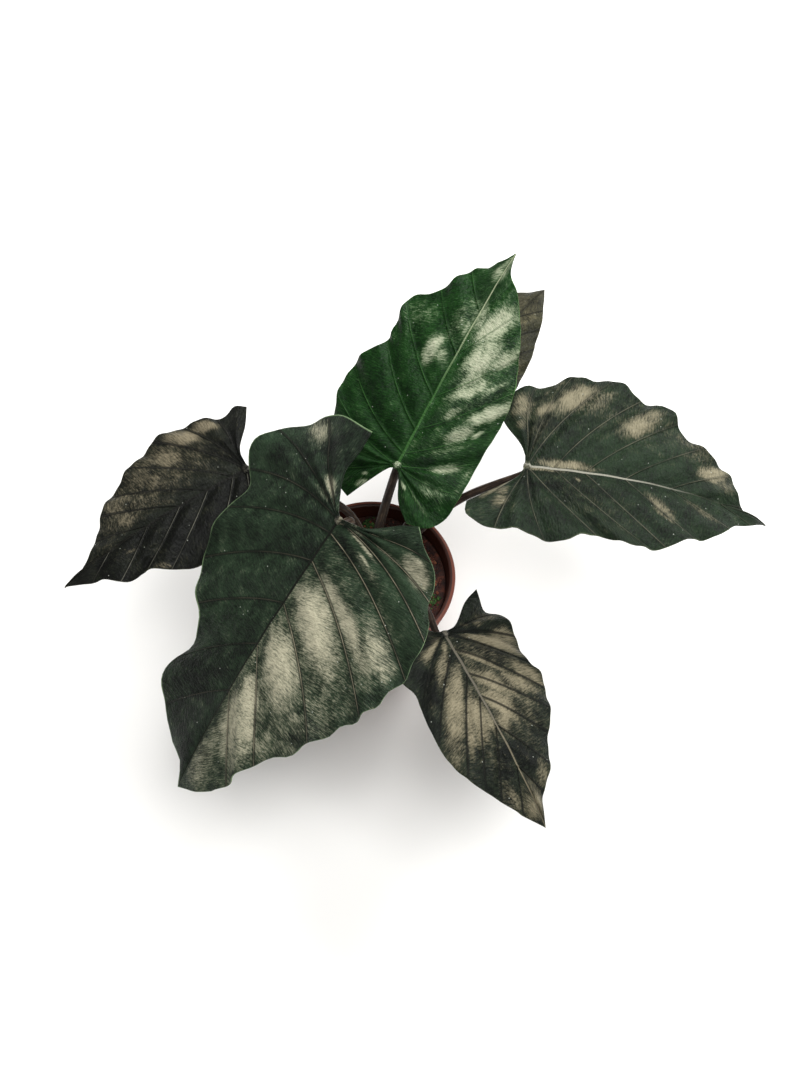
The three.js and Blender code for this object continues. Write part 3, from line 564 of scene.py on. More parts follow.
def half_surface(leaf, side):
    """One half of a blade: its points, and what its relief and its colours need."""
    half = leaf["right"] if side > 0 else leaf["left"]
    lines = half_lines(leaf, half)
    place, share = lines["place"], lines["share"]
    ends = np.array([0, *half["vein_ends"], 1])
    run = np.interp(place, np.arange(len(ends)), ends)
    turns = 2 * np.pi * leaf["scallops"] * run
    scallop = share ** 9 * np.sin(turns + 1.6 * np.sin(0.17 * turns + side))
    scallop = scallop * (1 - run ** 4) * np.minimum(1, 9 * run)
    across, along = flat_point(leaf, half, place, share * (1 + half["scallop"] * scallop))
    across = np.maximum(across, 0)
    point, facing = bent_point(leaf, side, across, along)
    pillow = 0.5 - 0.5 * np.cos(2 * np.pi * place)
    quilt = leaf["vein_lift"] * pillow * np.sin(np.pi * share ** 0.8).clip(0) ** 0.8
    phase = leaf["wave_phase"] * (2 + side)
    fade = np.minimum(1, 4 * run) * np.minimum(1, 5 * (1.05 - run))
    wave = np.sin(2 * np.pi * leaf["wave_count"] * run + phase) * share ** 3
    ripple = 0.22 * np.sin(2 * np.pi * 2.7 * leaf["wave_count"] * run + 2 * phase) * share ** 5
    lift = quilt + leaf["wave"] * (wave + ripple) * fade - 120 * half["scallop"] * scallop
    # Distances in millimetres, and the ridges and valleys that the relief is made of.
    from_midrib = np.hypot(across, np.minimum(along, 0))
    from_margin = (1 - share) * lines["reach"]
    thick = np.clip(1 - along / leaf["length"], 0, 1)
    ridge = hump(from_midrib, 0.5 + 1.5 * thick)
    valley = hump(from_midrib, 5)
    strong = np.sqrt(np.clip(1 - share, 0, 1)) * smooth_step(share, 0, 0.05)
    cord = hump(lines["from_vein"], 0.75 - 0.3 * share)
    beside = hump(lines["from_vein"] - 1.6, 0.7)
    edge = hump(from_margin, 0.3)
    return {
        "point": point + lift[..., None] * facing,
        "outwards": share * lines["reach"],
        "aside": lines["aside"],
        "panel_before": lines["panel_before"],
        "top_lift": thick * (0.9 * ridge - 1.1 * valley) + strong * (0.55 * cord - 0.22 * beside)
        - 0.22 * edge,
        "under_lift": thick * KEEL * hump(from_midrib, 1.9) + 0.4 * strong * cord - 0.22 * edge,
        # sheen is painted highlight; tone is partly the leaf's own colour and partly painted shade;
        # vein is how pale the veins are painted, partly their own colour and partly painted highlight.
        "sheen": patch_field(half["sheen"], place, share),
        "tone": half["tone"] + patch_field(half["shades"], place, share),
        "vein": half["cord"] * strong ** 0.3,
        "from_vein": np.minimum(lines["from_vein"], 8),
        "from_midrib": np.minimum(from_midrib, 20),
        "from_margin": np.minimum(from_margin / half["rim_width"], 20),
        "from_joint": np.minimum(np.hypot(across, along), 40),
        "thick": thick,
    }


# Mesh helpers

def deselect():
    """Leaves nothing selected and no object in edit mode."""
    if bpy.context.object and bpy.context.object.mode != "OBJECT":
        bpy.ops.object.mode_set(mode="OBJECT")
    bpy.ops.object.select_all(action="DESELECT")


def select_only(piece):
    """Selects one piece and makes it active."""
    deselect()
    piece.select_set(True)
    bpy.context.view_layer.objects.active = piece


def read_points(piece):
    """The piece's corners as an array."""
    corners = np.zeros(len(piece.data.vertices) * 3)
    piece.data.vertices.foreach_get("co", corners)
    return corners.reshape(-1, 3)


def write_points(piece, points):
    """Moves the piece's corners."""
    piece.data.vertices.foreach_set("co", np.ascontiguousarray(points, float).ravel())
    piece.data.update()


def woven_grid(name, columns, rows):
    """A new flat grid, and the column and the row of each of its corners."""
    deselect()
    bpy.ops.mesh.primitive_grid_add(x_subdivisions=columns - 1, y_subdivisions=rows - 1, size=2)
    piece = bpy.context.object
    piece.name = name
    piece.data.name = name
    flat = read_points(piece)
    column = np.rint((flat[:, 0] + 1) / 2 * (columns - 1)).astype(int)
    row = np.rint((flat[:, 1] + 1) / 2 * (rows - 1)).astype(int)
    return piece, column, row


def edit_all(piece, operator, **settings):
    """Runs an edit mode operator on the whole of a piece."""
    select_only(piece)
    bpy.ops.object.mode_set(mode="EDIT")
    bpy.ops.mesh.select_all(action="SELECT")
    operator(**settings)
    bpy.ops.object.mode_set(mode="OBJECT")


def cut_away(piece, tool):
    """Cuts a tool's shape out of a piece and removes the tool."""
    select_only(piece)
    cut = piece.modifiers.new("cut", "BOOLEAN")
    cut.operation = "DIFFERENCE"
    cut.object = tool
    bpy.ops.object.modifier_apply(modifier=cut.name)
    bpy.data.objects.remove(tool)


def merge_corners(piece):
    """Merges the corners of a piece that lie on each other."""
    edit_all(piece, bpy.ops.mesh.remove_doubles, threshold=1e-6)


def face_outwards(piece):
    """Turns the faces of a closed piece outwards."""
    edit_all(piece, bpy.ops.mesh.normals_make_consistent, inside=False)


def store_values(piece, name, values):
    """Keeps a number for each corner of the piece, for its material to read."""
    attribute = piece.data.attributes.new(name, "FLOAT", "POINT")
    attribute.data.foreach_set("value", np.ascontiguousarray(values, float).ravel())


def face_corners(piece):
    """Which corner of the mesh each corner of each face is."""
    corner = np.zeros(len(piece.data.loops), int)
    piece.data.loops.foreach_get("vertex_index", corner)
    return corner


def store_map(piece, name, across, along):
    """A UV map from two numbers for each corner of each face."""
    layer = piece.data.uv_layers.get(name) or piece.data.uv_layers.new(name=name)
    layer.data.foreach_set("uv", np.stack([across, along], 1).ravel())
    layer.active_render = True


def store_fibres(piece, column, laid):
    """The UV map of a blade's nap: along its streaks, and from one streak to the next.

    It starts anew in each panel between two side veins, so a corner on a vein has one place as the
    start of a panel and another as the end of the panel before.
    """
    corner = face_corners(piece)
    of_face = column[corner].reshape(-1, 4)
    panel = of_face.min(1) // COLUMNS_IN_PANEL
    ends_panel = of_face == (panel[:, None] + 1) * COLUMNS_IN_PANEL
    aside = laid("aside")[corner].reshape(-1, 4)
    aside = np.where(ends_panel, laid("panel_before")[corner].reshape(-1, 4), aside)
    outwards = laid("outwards")[corner].reshape(-1, 4)
    cos, sin = math.cos(NAP_SLANT), math.sin(NAP_SLANT)
    along = outwards * cos + aside * sin + 37 * panel[:, None]
    between = outwards * sin - aside * cos + 53 * panel[:, None]
    store_map(piece, "fibre", between.ravel() / FIBRE_UNIT, along.ravel() / FIBRE_UNIT)


def finish_piece(piece, slot, *nodes, materials=()):
    """Smooths a piece, gives it materials and its place in the frame, and hides the parts it replaces.
    """
    select_only(piece)
    bpy.ops.object.shade_smooth()
    piece.data.materials.clear()
    for material in materials:
        piece.data.materials.append(material)
    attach(piece, "root")
    if nodes:
        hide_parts(*nodes)


# Colours and nodes

def linear(hex_colour, alpha=True):
    """An sRGB hex colour as the linear numbers that the shaders use."""
    shares = [(hex_colour >> shift & 255) / 255 for shift in (16, 8, 0)]
    colour = tuple(s / 12.92 if s <= 0.04045 else ((s + 0.055) / 1.055) ** 2.4 for s in shares)
    return colour + (1.0,) if alpha else colour


def add_node(tree, kind, settings=None, inputs=None, stops=(), output=0):
    """Adds a node with its settings, input values or links and colour stops; gives one output."""
    node = tree.nodes.new("ShaderNode" + kind)
    for name, value in (settings or {}).items():
        setattr(node, name, value)
    for key, value in (inputs or {}).items():
        if isinstance(value, bpy.types.NodeSocket):
            tree.links.new(value, node.inputs[key])
        else:
            node.inputs[key].default_value = value
    for number, (place, colour) in enumerate(stops):
        ramp = node.color_ramp.elements
        stop = ramp[number] if number < len(ramp) else ramp.new(place)
        stop.position = place
        stop.color = colour
    return node.outputs[output] if node.outputs else node


def new_material(name):
    """An empty node material, and the function that adds a node to it."""
    material = bpy.data.materials.new(name)
    material.use_nodes = True
    material.node_tree.nodes.clear()
    return material, functools.partial(add_node, material.node_tree)


# Settings and sockets of the nodes that mix colours and that turn a range into another.
COLOUR_MIX = {"data_type": "RGBA"}
FACTOR, UNDER, OVER, MIXED = 0, 6, 7, 2
SOFT_RANGE = {"interpolation_type": "SMOOTHSTEP"}
FROM_LOW, FROM_HIGH, TO_LOW, TO_HIGH = 1, 2, 3, 4


def blade_top(leaf):
    """Upper face of a velvet leaf: a dark hairy ground, with its sheen painted on as highlight."""
    material, add = new_material(f"velvet_top_{leaf['name']}")
    fibre = add("UVMap", {"uv_map": "fibre"})
    object_place = add("TexCoord", output="Object")
    value = {name: add("Attribute", {"attribute_name": name}, output="Fac") for name in BLADE_VALUES}
    # Hairs, their streaks and the pillows between the smallest veins slant off the side veins:
    # millimetres from one to the next, and along each. Real hairs stand closer than a picture can
    # show, so these are drawn coarser.
    for name, between, along, detail in (
            ("hair", 0.35, 2.5, 2), ("streak", 0.6, 9, 3), ("pillow", 4.5, 9, 2)):
        place = add("Mapping", inputs={
            "Vector": fibre, "Scale": (FIBRE_UNIT / between, FIBRE_UNIT / along, 1)})
        value[name] = add("TexNoise", inputs={
            "Vector": place, "Scale": 1, "Detail": detail, "Roughness": 0.65})
    # Clouding breaks the edges of bright patches; fuzz is as coarse as a picture can show; gaps
    # fade the veins here and there. All in millimetres.
    for name, size, detail in (("cloud", 11, 4), ("fuzz", 0.5, 2), ("gaps", 24, 2)):
        value[name] = add("TexNoise", inputs={
            "Vector": object_place, "Scale": 1 / (size * MM), "Detail": detail, "Roughness": 0.6})
    # Wrinkles along the smallest veins run about 1.7 mm apart and wander.
    waves = add("TexWave", {"bands_direction": "X"}, {
        "Vector": fibre, "Scale": FIBRE_UNIT * math.pi / 10 / 1.7, "Distortion": 9, "Detail": 2,
        "Detail Scale": 0.6}, output="Fac")
    value["wrinkle"] = add("MapRange", SOFT_RANGE, {0: waves, FROM_LOW: 0.6, FROM_HIGH: 1})
    # The painted sheen's level: the sheen patches, painted highlight, broken up by hair, streaks,
    # clouding and pillows. The ground's lightness follows the tone, partly painted shade.
    for name, total, parts in (
            ("painted_sheen_level", value["sheen"],
             {"hair": 0.9, "streak": 1.2, "cloud": 1, "pillow": 0.7, "wrinkle": -0.13}),
            ("ground", value["tone"],
             {"hair": 0.9, "streak": 1.3, "cloud": 1.3, "fuzz": 0.6, "wrinkle": 0.12}),
            ("relief", 0, {"pillow": 4, "streak": 1.4, "hair": 0.8, "wrinkle": -0.25})):
        for part, weight in parts.items():
            total = add("Math", {"operation": "MULTIPLY_ADD"}, {0: value[part], 1: weight, 2: total})
        value[name] = total
    # The midrib's ridge narrows from the joint to the tip. The joint is flecked. Specks of grit and
    # lime lie 5 mm apart, on one place in four.
    value["to_speck"] = add("TexVoronoi", inputs={"Vector": object_place, "Scale": 1 / (5 * MM)})
    any_number = value["to_speck"].node.outputs["Color"]
    for name, operation, *terms in (
            ("ridge_width", "MULTIPLY_ADD", value["thick"], 0.7, 0.25),
            ("flecks", "MULTIPLY_ADD", value["fuzz"], -9, value["from_joint"]),
            ("chosen", "GREATER_THAN", any_number, 0.62)):
        value[name] = add("Math", {"operation": operation}, dict(enumerate(terms)))
    value["over_ridge"] = add("Math", {"operation": "DIVIDE"}, {
        0: value["from_midrib"], 1: value["ridge_width"]})
    # What each share of a colour follows, between which values, and how strong it is at both.
    # Painted shade darkens a crease along each side vein, and the vein's cord is painted paler,
    # partly in its own colour and partly as painted highlight.
    share = {}
    for name, source, low, high, first, last in (
            ("bright", "painted_sheen_level", 1.93, 2.86, 0, 1),
            ("shown", "gaps", 0.36, 0.6, 0.25, 1),
            ("crease", "from_vein", 0.4, 1.7, leaf["crease"], 0),
            ("cord", "from_vein", 0.1, 0.42, 1, 0),
            ("ridge", "over_ridge", 0.7, 1.1, 1, 0),
            ("ridge_base", "thick", 0.25, 0.7, 0, 1),
            ("rim", "from_margin", 0.25, 1, 0.65, 0),
            ("knuckle", "flecks", -5, -2.6, 0.6, 0),
            ("speck", "to_speck", 0.04, 0.085, 0.7, 0)):
        share[name] = add("MapRange", SOFT_RANGE, {
            0: value[source], FROM_LOW: low, FROM_HIGH: high, TO_LOW: first, TO_HIGH: last})
    share["lit"] = add("MapRange", inputs={0: value["painted_sheen_level"], FROM_LOW: 2.12, FROM_HIGH: 3.12})
    share["ground"] = add("MapRange", inputs={0: value["ground"], FROM_LOW: 2.05, FROM_HIGH: 2.85})
    for name, factor in (
            ("cord", value["vein"]), ("cord", share["shown"]), ("rim", share["shown"]),
            ("speck", value["chosen"])):
        share[name] = add("Math", {"operation": "MULTIPLY"}, {0: share[name], 1: factor})
    paint = {name: linear(leaf[name]) for name in LEAF_PAINTS}
    paint["speck"] = linear(0xb9bdb2)
    # The painted sheen runs from its shaded to its lit colour and is laid over the ground as painted
    # highlight.
    for name, factor, under, over in (
            ("painted_sheen_colour", "lit", "shade", "light"), ("ridge", "ridge_base", "midrib_tip", "midrib"),
            ("skin", "ground", "dark", "mid"), ("skin", "bright", "skin", "painted_sheen_colour"),
            ("skin", "crease", "skin", "dark"), ("skin", "cord", "skin", "vein"),
            ("skin", "ridge", "skin", "ridge"), ("skin", "rim", "skin", "rim"),
            ("skin", "knuckle", "skin", "knuckle"), ("skin", "speck", "skin", "speck")):
        paint[name] = add("Mix", COLOUR_MIX, {
            FACTOR: share[factor], UNDER: paint[under], OVER: paint[over]}, output=MIXED)
    bump = add("Bump", inputs={"Height": value["relief"], "Distance": 0.5 * MM, "Strength": 0.8})
    add("OutputMaterial", inputs={0: add("BsdfPrincipled", inputs={
        "Base Color": paint["skin"], "Roughness": 0.42, "IOR": 1.4, "Specular IOR Level": 0.13,
        "Sheen Weight": 0.015, "Sheen Roughness": 0.4, "Normal": bump})})
    return material


def blade_underside(leaf):
    """Lower face of the leaf: bare, matt and grey-green, with paler raised veins."""
    material, add = new_material(f"leaf_underside_{leaf['name']}")
    from_vein = add("Attribute", {"attribute_name": "from_vein"}, output="Fac")
    cloud = add("TexNoise", inputs={
        "Vector": add("TexCoord", output="Object"), "Scale": 1 / (9 * MM), "Detail": 4})
    skin = add("Mix", COLOUR_MIX, {
        FACTOR: cloud, UNDER: linear(leaf["under"]), OVER: linear(leaf["under_light"])}, output=MIXED)
    near_vein = add("MapRange", SOFT_RANGE, {
        0: from_vein, FROM_LOW: 0.4, FROM_HIGH: 1.1, TO_LOW: 0.7, TO_HIGH: 0})
    veined = add("Mix", COLOUR_MIX, {
        FACTOR: near_vein, UNDER: skin, OVER: linear(leaf["under_vein"])}, output=MIXED)
    bump = add("Bump", inputs={"Height": cloud, "Distance": 0.4 * MM, "Strength": 0.5})
    add("OutputMaterial", inputs={0: add("BsdfPrincipled", inputs={
        "Base Color": veined, "Roughness": 0.6, "IOR": 1.4, "Normal": bump})})
    return material


def stalk_skin():
    """Fleshy leaf stalk: satin dark brown skin with paler lengthwise lines."""
    material, add = new_material("stalk_skin")
    # Sixteen lines round the stalk, about 1.3 mm apart, which break up along it.
    line_place = add("Mapping", inputs={
        "Vector": add("UVMap", {"uv_map": "along"}), "Scale": (16, 2.5, 1)})
    line = add("TexNoise", inputs={
        "Vector": line_place, "Scale": 1, "Detail": 4, "Roughness": 0.65})
    mottle = add("TexNoise", inputs={
        "Vector": add("TexCoord", output="Object"), "Scale": 1 / (5 * MM), "Detail": 4})
    both = add("Math", {"operation": "MULTIPLY_ADD"}, {0: mottle, 1: 0.5, 2: line})
    middle = (*bpy.context.scene.plant_colours.stalk, 1)
    colour = add("ValToRGB", inputs={0: both}, stops=[
        (0.5, linear(0x130f0c)), (0.74, middle), (1.0, linear(0x4d4034))])
    bump = add("Bump", inputs={"Height": line, "Distance": 0.3 * MM, "Strength": 0.6})
    add("OutputMaterial", inputs={0: add("BsdfPrincipled", inputs={
        "Base Color": colour, "Roughness": 0.42, "IOR": 1.42, "Specular IOR Level": 0.13,
        "Normal": bump})})
    return material


def sheath_skin(name, dark, middle, light):
    """Skin of the crown and its dry leaf sheaths: brown, matt and finely ribbed upwards."""
    material, add = new_material(name)
    # Ribs lie about 1.43 mm apart and waver over 16.7 mm of their height.
    apart, along = 1.43 * MM, 16.7 * MM
    rib_place = add("Mapping", inputs={
        "Vector": add("TexCoord", output="Object"), "Scale": (1 / apart, 1 / apart, 1 / along)})
    rib = add("TexNoise", inputs={"Vector": rib_place, "Scale": 1, "Detail": 4})
    colour = add("ValToRGB", inputs={0: rib}, stops=[
        (0.3, linear(dark)), (0.55, linear(middle)), (0.8, linear(light))])
    bump = add("Bump", inputs={"Height": rib, "Distance": 0.4 * MM, "Strength": 0.7})
    add("OutputMaterial", inputs={0: add("BsdfPrincipled", inputs={
        "Base Color": colour, "Roughness": 0.7, "Specular IOR Level": 0.2, "Normal": bump})})
    return material


def pot_plastic(name, colour, dusty_most):
    """Injection-moulded polypropylene of a given colour: matt, finely grained, with some pale dust."""
    material, add = new_material(name)
    object_place = add("TexCoord", output="Object")
    grain = add("TexNoise", inputs={"Vector": object_place, "Scale": 1 / (0.8 * MM), "Detail": 3})
    dust = add("TexNoise", inputs={"Vector": object_place, "Scale": 1 / (22 * MM), "Detail": 5})
    dusty = add("MapRange", SOFT_RANGE, {
        0: dust, FROM_LOW: 0.5, FROM_HIGH: 0.75, TO_LOW: 0, TO_HIGH: dusty_most})
    dusted = add("Mix", COLOUR_MIX, {
        FACTOR: dusty, UNDER: (*colour, 1), OVER: linear(0xa97b60)}, output=MIXED)
    rough = add("MapRange", inputs={0: dust, TO_LOW: 0.42, TO_HIGH: 0.6})
    bump = add("Bump", inputs={"Height": grain, "Distance": 0.06 * MM, "Strength": 0.5})
    add("OutputMaterial", inputs={0: add("BsdfPrincipled", inputs={
        "Base Color": dusted, "Roughness": rough, "IOR": 1.49, "Normal": bump})})
    return material


def potting_mix(name, dark, middle, light, grain):
    """Damp potting mix: peat, bark or moss, matt, with grains of a given size in millimetres."""
    material, add = new_material(name)
    speck = add("TexNoise", inputs={
        "Vector": add("TexCoord", output="Object"), "Scale": 1 / (grain * MM), "Detail": 4})
    colour = add("ValToRGB", inputs={0: speck}, stops=[
        (0.3, linear(dark)), (0.55, linear(middle)), (0.75, linear(light))])
    bump = add("Bump", inputs={"Height": speck, "Distance": 0.8 * MM, "Strength": 0.9})
    add("OutputMaterial", inputs={0: add("BsdfPrincipled", inputs={
        "Base Color": colour, "Roughness": 0.85, "Normal": bump})})
    return material


def studio_floor():
    """Matt white paper sweep."""
    material, add = new_material("paper_sweep")
    add("OutputMaterial", inputs={0: add("BsdfPrincipled", inputs={
        "Base Color": linear(0xf2f1ee), "Roughness": 0.8})})
    return material


# Pot

def pot_radius(height):
    """Outer radius of the tapering wall at a height."""
    return BASE_RADIUS + (RIM_RADIUS - BAND_STEP - BASE_RADIUS) * height / POT_HEIGHT


def rise(radius, height, was):
    """Extrudes the selected ring to a new radius and height; was is its last radius and height."""
    bpy.ops.mesh.extrude_region_move(
        TRANSFORM_OT_translate={"value": (0, 0, (height - was[1]) * MM)})
    bpy.ops.transform.resize(value=(radius / was[0], radius / was[0], 1))
    return radius, height


def build_pot(sides):
    """The pot: a disc extruded up its outside, over the lip and down its inside, then drilled."""
    deselect()
    bpy.ops.mesh.primitive_circle_add(
        vertices=sides, radius=(BASE_RADIUS - 2) * MM, fill_type="NGON")
    pot = bpy.context.object
    pot.name = "nursery_pot"
    bpy.ops.object.mode_set(mode="EDIT")
    bpy.ops.mesh.select_all(action="SELECT")
    band_foot = POT_HEIGHT - BAND_HEIGHT
    inner_rim = pot_radius(POT_HEIGHT) - WALL
    profile = [
        (BASE_RADIUS - 0.7, 0.4),
        (BASE_RADIUS, 2),
        *[(pot_radius(h), h) for h in np.linspace(15, band_foot, 6)],
        (pot_radius(band_foot) + BAND_STEP - 0.4, band_foot + 0.5),
        (pot_radius(band_foot) + BAND_STEP, band_foot + 1.3),
        (RIM_RADIUS - 0.4, POT_HEIGHT - 4),
        (RIM_RADIUS, POT_HEIGHT - 2.6),
        (RIM_RADIUS, POT_HEIGHT - 1),
        (RIM_RADIUS - 0.3, POT_HEIGHT - 0.3),
        (RIM_RADIUS - 1, POT_HEIGHT),
        (RIM_RADIUS - CLEAN_LIP, POT_HEIGHT),
        (inner_rim + 0.8, POT_HEIGHT),
        (inner_rim + 0.25, POT_HEIGHT - 0.3),
        (inner_rim, POT_HEIGHT - 1),
        (pot_radius(FLOOR) - WALL, FLOOR),
        (6, FLOOR),
    ]
    was = (BASE_RADIUS - 2, 0)
    for radius, height in profile:
        was = rise(radius, height, was)
    bpy.ops.object.mode_set(mode="OBJECT")
    face_outwards(pot)
    for number in range(DRAIN_HOLES):
        angle = 2 * math.pi * number / DRAIN_HOLES
        place = (DRAIN_RING * math.cos(angle) * MM, DRAIN_RING * math.sin(angle) * MM, FLOOR / 2 * MM)
        deselect()
        bpy.ops.mesh.primitive_cylinder_add(
            vertices=24, radius=DRAIN_RADIUS * MM, depth=3 * FLOOR * MM, location=place)
        cut_away(pot, bpy.context.object)
    return pot


def mark_inner_wall(pot):
    """Gives the inner wall, and the lip's inner part, the second material."""
    for face in pot.data.polygons:
        out = math.hypot(face.center.x, face.center.y)
        inwards = face.center.x * face.normal.x + face.center.y * face.normal.y < -0.3 * out
        on_lip = face.normal.z > 0.9 and face.center.z > (POT_HEIGHT - 0.1) * MM
        if inwards or (on_lip and out < (RIM_RADIUS - CLEAN_LIP) * MM):
            face.material_index = 1


# Soil

def soil_lump(x, y):
    """Height of the lumpy soil above its mean level."""
    coarse = np.sin(0.16 * x + 0.7) * np.cos(0.13 * y - 0.4)
    fine = np.sin(0.41 * x - 0.22 * y) + np.cos(0.37 * y + 0.29 * x + 1.2)
    return SOIL_LUMP * (coarse + 0.45 * fine)


def soil_height(x, y):
    """Height of the soil's surface, with its small clods."""
    clods = np.sin(1.1 * x + 2 * np.sin(0.7 * y)) * np.sin(0.9 * y + 2 * np.sin(0.8 * x))
    return SOIL_TOP + soil_lump(x, y) + 0.5 * clods


def build_soil():
    """The plug of soil: a lumpy top that ends at the crown, and a plain side and bottom."""
    sides, top_start, top_end = 160, 3, 59
    soil, column, row = woven_grid("potting_soil", sides + 1, top_end + 5)
    angle = 2 * np.pi * column / sides
    around = np.stack([np.cos(angle), np.sin(angle), np.zeros_like(angle)], 1)
    hub = np.array([*CROWN_PLACE, 0])
    hole = CROWN_RADIUS + GAP
    edge = SOIL_TOP - 1.5
    share = np.clip((row - top_start) / (top_end - top_start), 0, 1)[:, None]
    outer = pot_radius(edge) - WALL - GAP
    points = around * outer * (1 - share) + (hub + around * hole) * share
    points[:, 2] = soil_height(points[:, 0], points[:, 1])
    points[row == top_start, 2] = edge
    bottom = FLOOR + GAP
    low = pot_radius(bottom) - WALL - GAP
    deep = CROWN_BOTTOM - GAP
    # The first rows close the bottom, and the last ones line the hole that the crown stands in.
    for number, middle, radius, height in (
            (0, 0, 0, bottom), (1, 0, 8, bottom), (2, 0, low, bottom),
            (top_end + 1, hub, hole, SOIL_TOP - 4), (top_end + 2, hub, hole, deep),
            (top_end + 3, hub, 4, deep), (top_end + 4, hub, 0, deep)):
        here = row == number
        points[here] = middle + around[here] * radius + np.array([0, 0, height])
    write_points(soil, points * MM)
    merge_corners(soil)
    face_outwards(soil)
    return soil


def scatter(name, count, seed, sizes, squash, clumps=0):
    """Crumbs of one kind on the soil: one rough pebble, repeated, turned and sized by seed.

    With clumps they lie in that many loose patches.
    """
    deselect()
    bpy.ops.mesh.primitive_ico_sphere_add(subdivisions=1, radius=1)
    crumb = bpy.context.object
    shape = read_points(crumb)
    corners = [tuple(face.vertices) for face in crumb.data.polygons]
    bpy.data.objects.remove(crumb)
    draw = random.Random(seed)
    points = []
    faces = []
    outer = pot_radius(SOIL_TOP) - WALL - 1.5
    hubs = []
    for _ in range(clumps):
        angle, radius = draw.uniform(0, 2 * math.pi), outer * draw.uniform(0.45, 1)
        hubs.append((radius * math.cos(angle), radius * math.sin(angle)))
    placed = 0
    while placed < count:
        angle = draw.uniform(0, 2 * math.pi)
        radius = outer * math.sqrt(draw.random())
        x, y = radius * math.cos(angle), radius * math.sin(angle)
        if hubs:
            hub = draw.choice(hubs)
            x, y = draw.gauss(hub[0], CLUMP_SPREAD), draw.gauss(hub[1], CLUMP_SPREAD)
        size = draw.uniform(*sizes)
        room = size * max(squash) * 1.3
        from_crown = math.hypot(x - CROWN_PLACE[0], y - CROWN_PLACE[1])
        if from_crown < CROWN_RADIUS + GAP + room or math.hypot(x, y) > outer - room:
            continue
        turn = draw.uniform(0, 2 * math.pi)
        tilt = draw.uniform(-0.5, 0.5)
        rough = np.array([[draw.uniform(0.7, 1.25)] for _ in shape])
        local = shape * rough * np.array(squash) * size
        cos, sin = math.cos(tilt), math.sin(tilt)
        local = local @ np.array([[cos, 0, sin], [0, 1, 0], [-sin, 0, cos]])
        cos, sin = math.cos(turn), math.sin(turn)
        local = local @ np.array([[cos, sin, 0], [-sin, cos, 0], [0, 0, 1]])
        height = soil_height(x, y) + draw.uniform(0.0, 0.45) * size * squash[2]
        first = placed * len(shape)
        points.append(local + np.array([x, y, height]))
        faces.extend(tuple(first + k for k in face) for face in corners)
        placed += 1
    mesh = bpy.data.meshes.new(name)
    mesh.from_pydata((np.vstack(points) * MM).tolist(), [], faces)
    piece = bpy.data.objects.new(name, mesh)
    bpy.context.collection.objects.link(piece)
    return piece


# Stalks and crown

def stalk_path(leaf):
    """Route of a stalk from its socket in the crown to just under the blade's joint."""
    stalk = leaf["stalk"]
    reach = 0 if stalk["central"] else RING_RADIUS
    angle = math.radians(stalk["angle"])
    foot = (CROWN_PLACE[0] + reach * math.cos(angle), CROWN_PLACE[1] + reach * math.sin(angle), FOOT)
    point, facing = bent_point(leaf, 1, np.array([0.0]), np.array([SEAT_ALONG]))
    facing = facing[0]
    seat = point[0] - facing * (THICKNESS + KEEL + GAP)
    approach = seat - facing * APPROACH_DROP - level_ahead(leaf) * APPROACH_BACK
    route = rounded_line([foot, *stalk["via"], approach, seat], 90)
    return route, seat, facing


def build_stalk(leaf, extra=0):
    """A stalk: a tube along its route, fluted a little, its top cut flush with the blade.

    With extra it is thicker and longer all round, to cut its own socket.
    """
    around, steps = 28, 90
    piece, column, row = woven_grid(f"leaf_stalk_{leaf['name']}", around + 1, steps + 2)
    route, seat, facing = stalk_path(leaf)
    tangent = np.gradient(route, axis=0)
    tangent /= np.linalg.norm(tangent, axis=1)[:, None]
    ahead = level_ahead(leaf)
    across = np.array([-ahead[1], ahead[0], 0])
    first = np.cross(tangent, across)
    first /= np.linalg.norm(first, axis=1)[:, None]
    second = np.cross(first, tangent)
    step = np.clip(row - 1, 0, steps - 1)
    share = step / (steps - 1)
    angle = 2 * np.pi * column / around
    stalk = leaf["stalk"]
    radius = stalk["radius"] + (stalk["tip_radius"] - stalk["radius"]) * share
    flute = 1 + 0.035 * np.sin(3 * angle + 4 * share) + 0.02 * np.sin(7 * angle)
    radius = radius * flute * 0.97 + extra
    radius = np.where((row == 0) | (row == steps + 1), 0, radius)
    points = route[step] + first[step] * (np.cos(angle) * radius)[:, None]
    points += second[step] * (np.sin(angle) * radius)[:, None]
    top = row >= steps
    slide = (seat - points[top]) @ facing / (tangent[-1] @ facing)
    points[top] += slide[:, None] * tangent[-1]
    points[row <= 1, 2] -= extra
    write_points(piece, points * MM)
    corner = face_corners(piece)
    store_map(piece, "along", (column / around)[corner], (share * 3)[corner])
    merge_corners(piece)
    face_outwards(piece)
    return piece


def build_crown():
    """The crown: a blunt stub ringed by old leaf scars, with a socket cut for each stalk."""
    around, levels = 96, 70
    piece, column, row = woven_grid("crown_stub", around + 1, levels)
    profile = np.array([
        (0, CROWN_BOTTOM), (CROWN_RADIUS - 3, CROWN_BOTTOM), (CROWN_RADIUS, CROWN_BOTTOM + 3),
        (CROWN_RADIUS, CROWN_SHOULDER), (CROWN_RADIUS - 1.5, CROWN_SHOULDER + 3.5),
        (CROWN_RADIUS - 5, CROWN_TOP), (0, CROWN_TOP + 0.3)])
    line = evenly(profile, levels)
    radius, height = line[row, 0], line[row, 1]
    angle = 2 * np.pi * column / around
    scar = hump((height + 1.2 * np.sin(2 * angle)) % 4.5 - 2.2, 0.7)
    rib = 0.25 * (1 + np.sin(23 * angle + 2 * np.sin(3 * angle)))
    radius = np.maximum(radius - (0.5 * scar + rib) * (radius > 5), 0)
    across = np.stack([radius * np.cos(angle), radius * np.sin(angle)], 1) + np.array(CROWN_PLACE)
    write_points(piece, np.column_stack([across, height]) * MM)
    merge_corners(piece)
    face_outwards(piece)
    for leaf in LEAVES:
        cut_away(piece, build_stalk(leaf, GAP))
    return piece


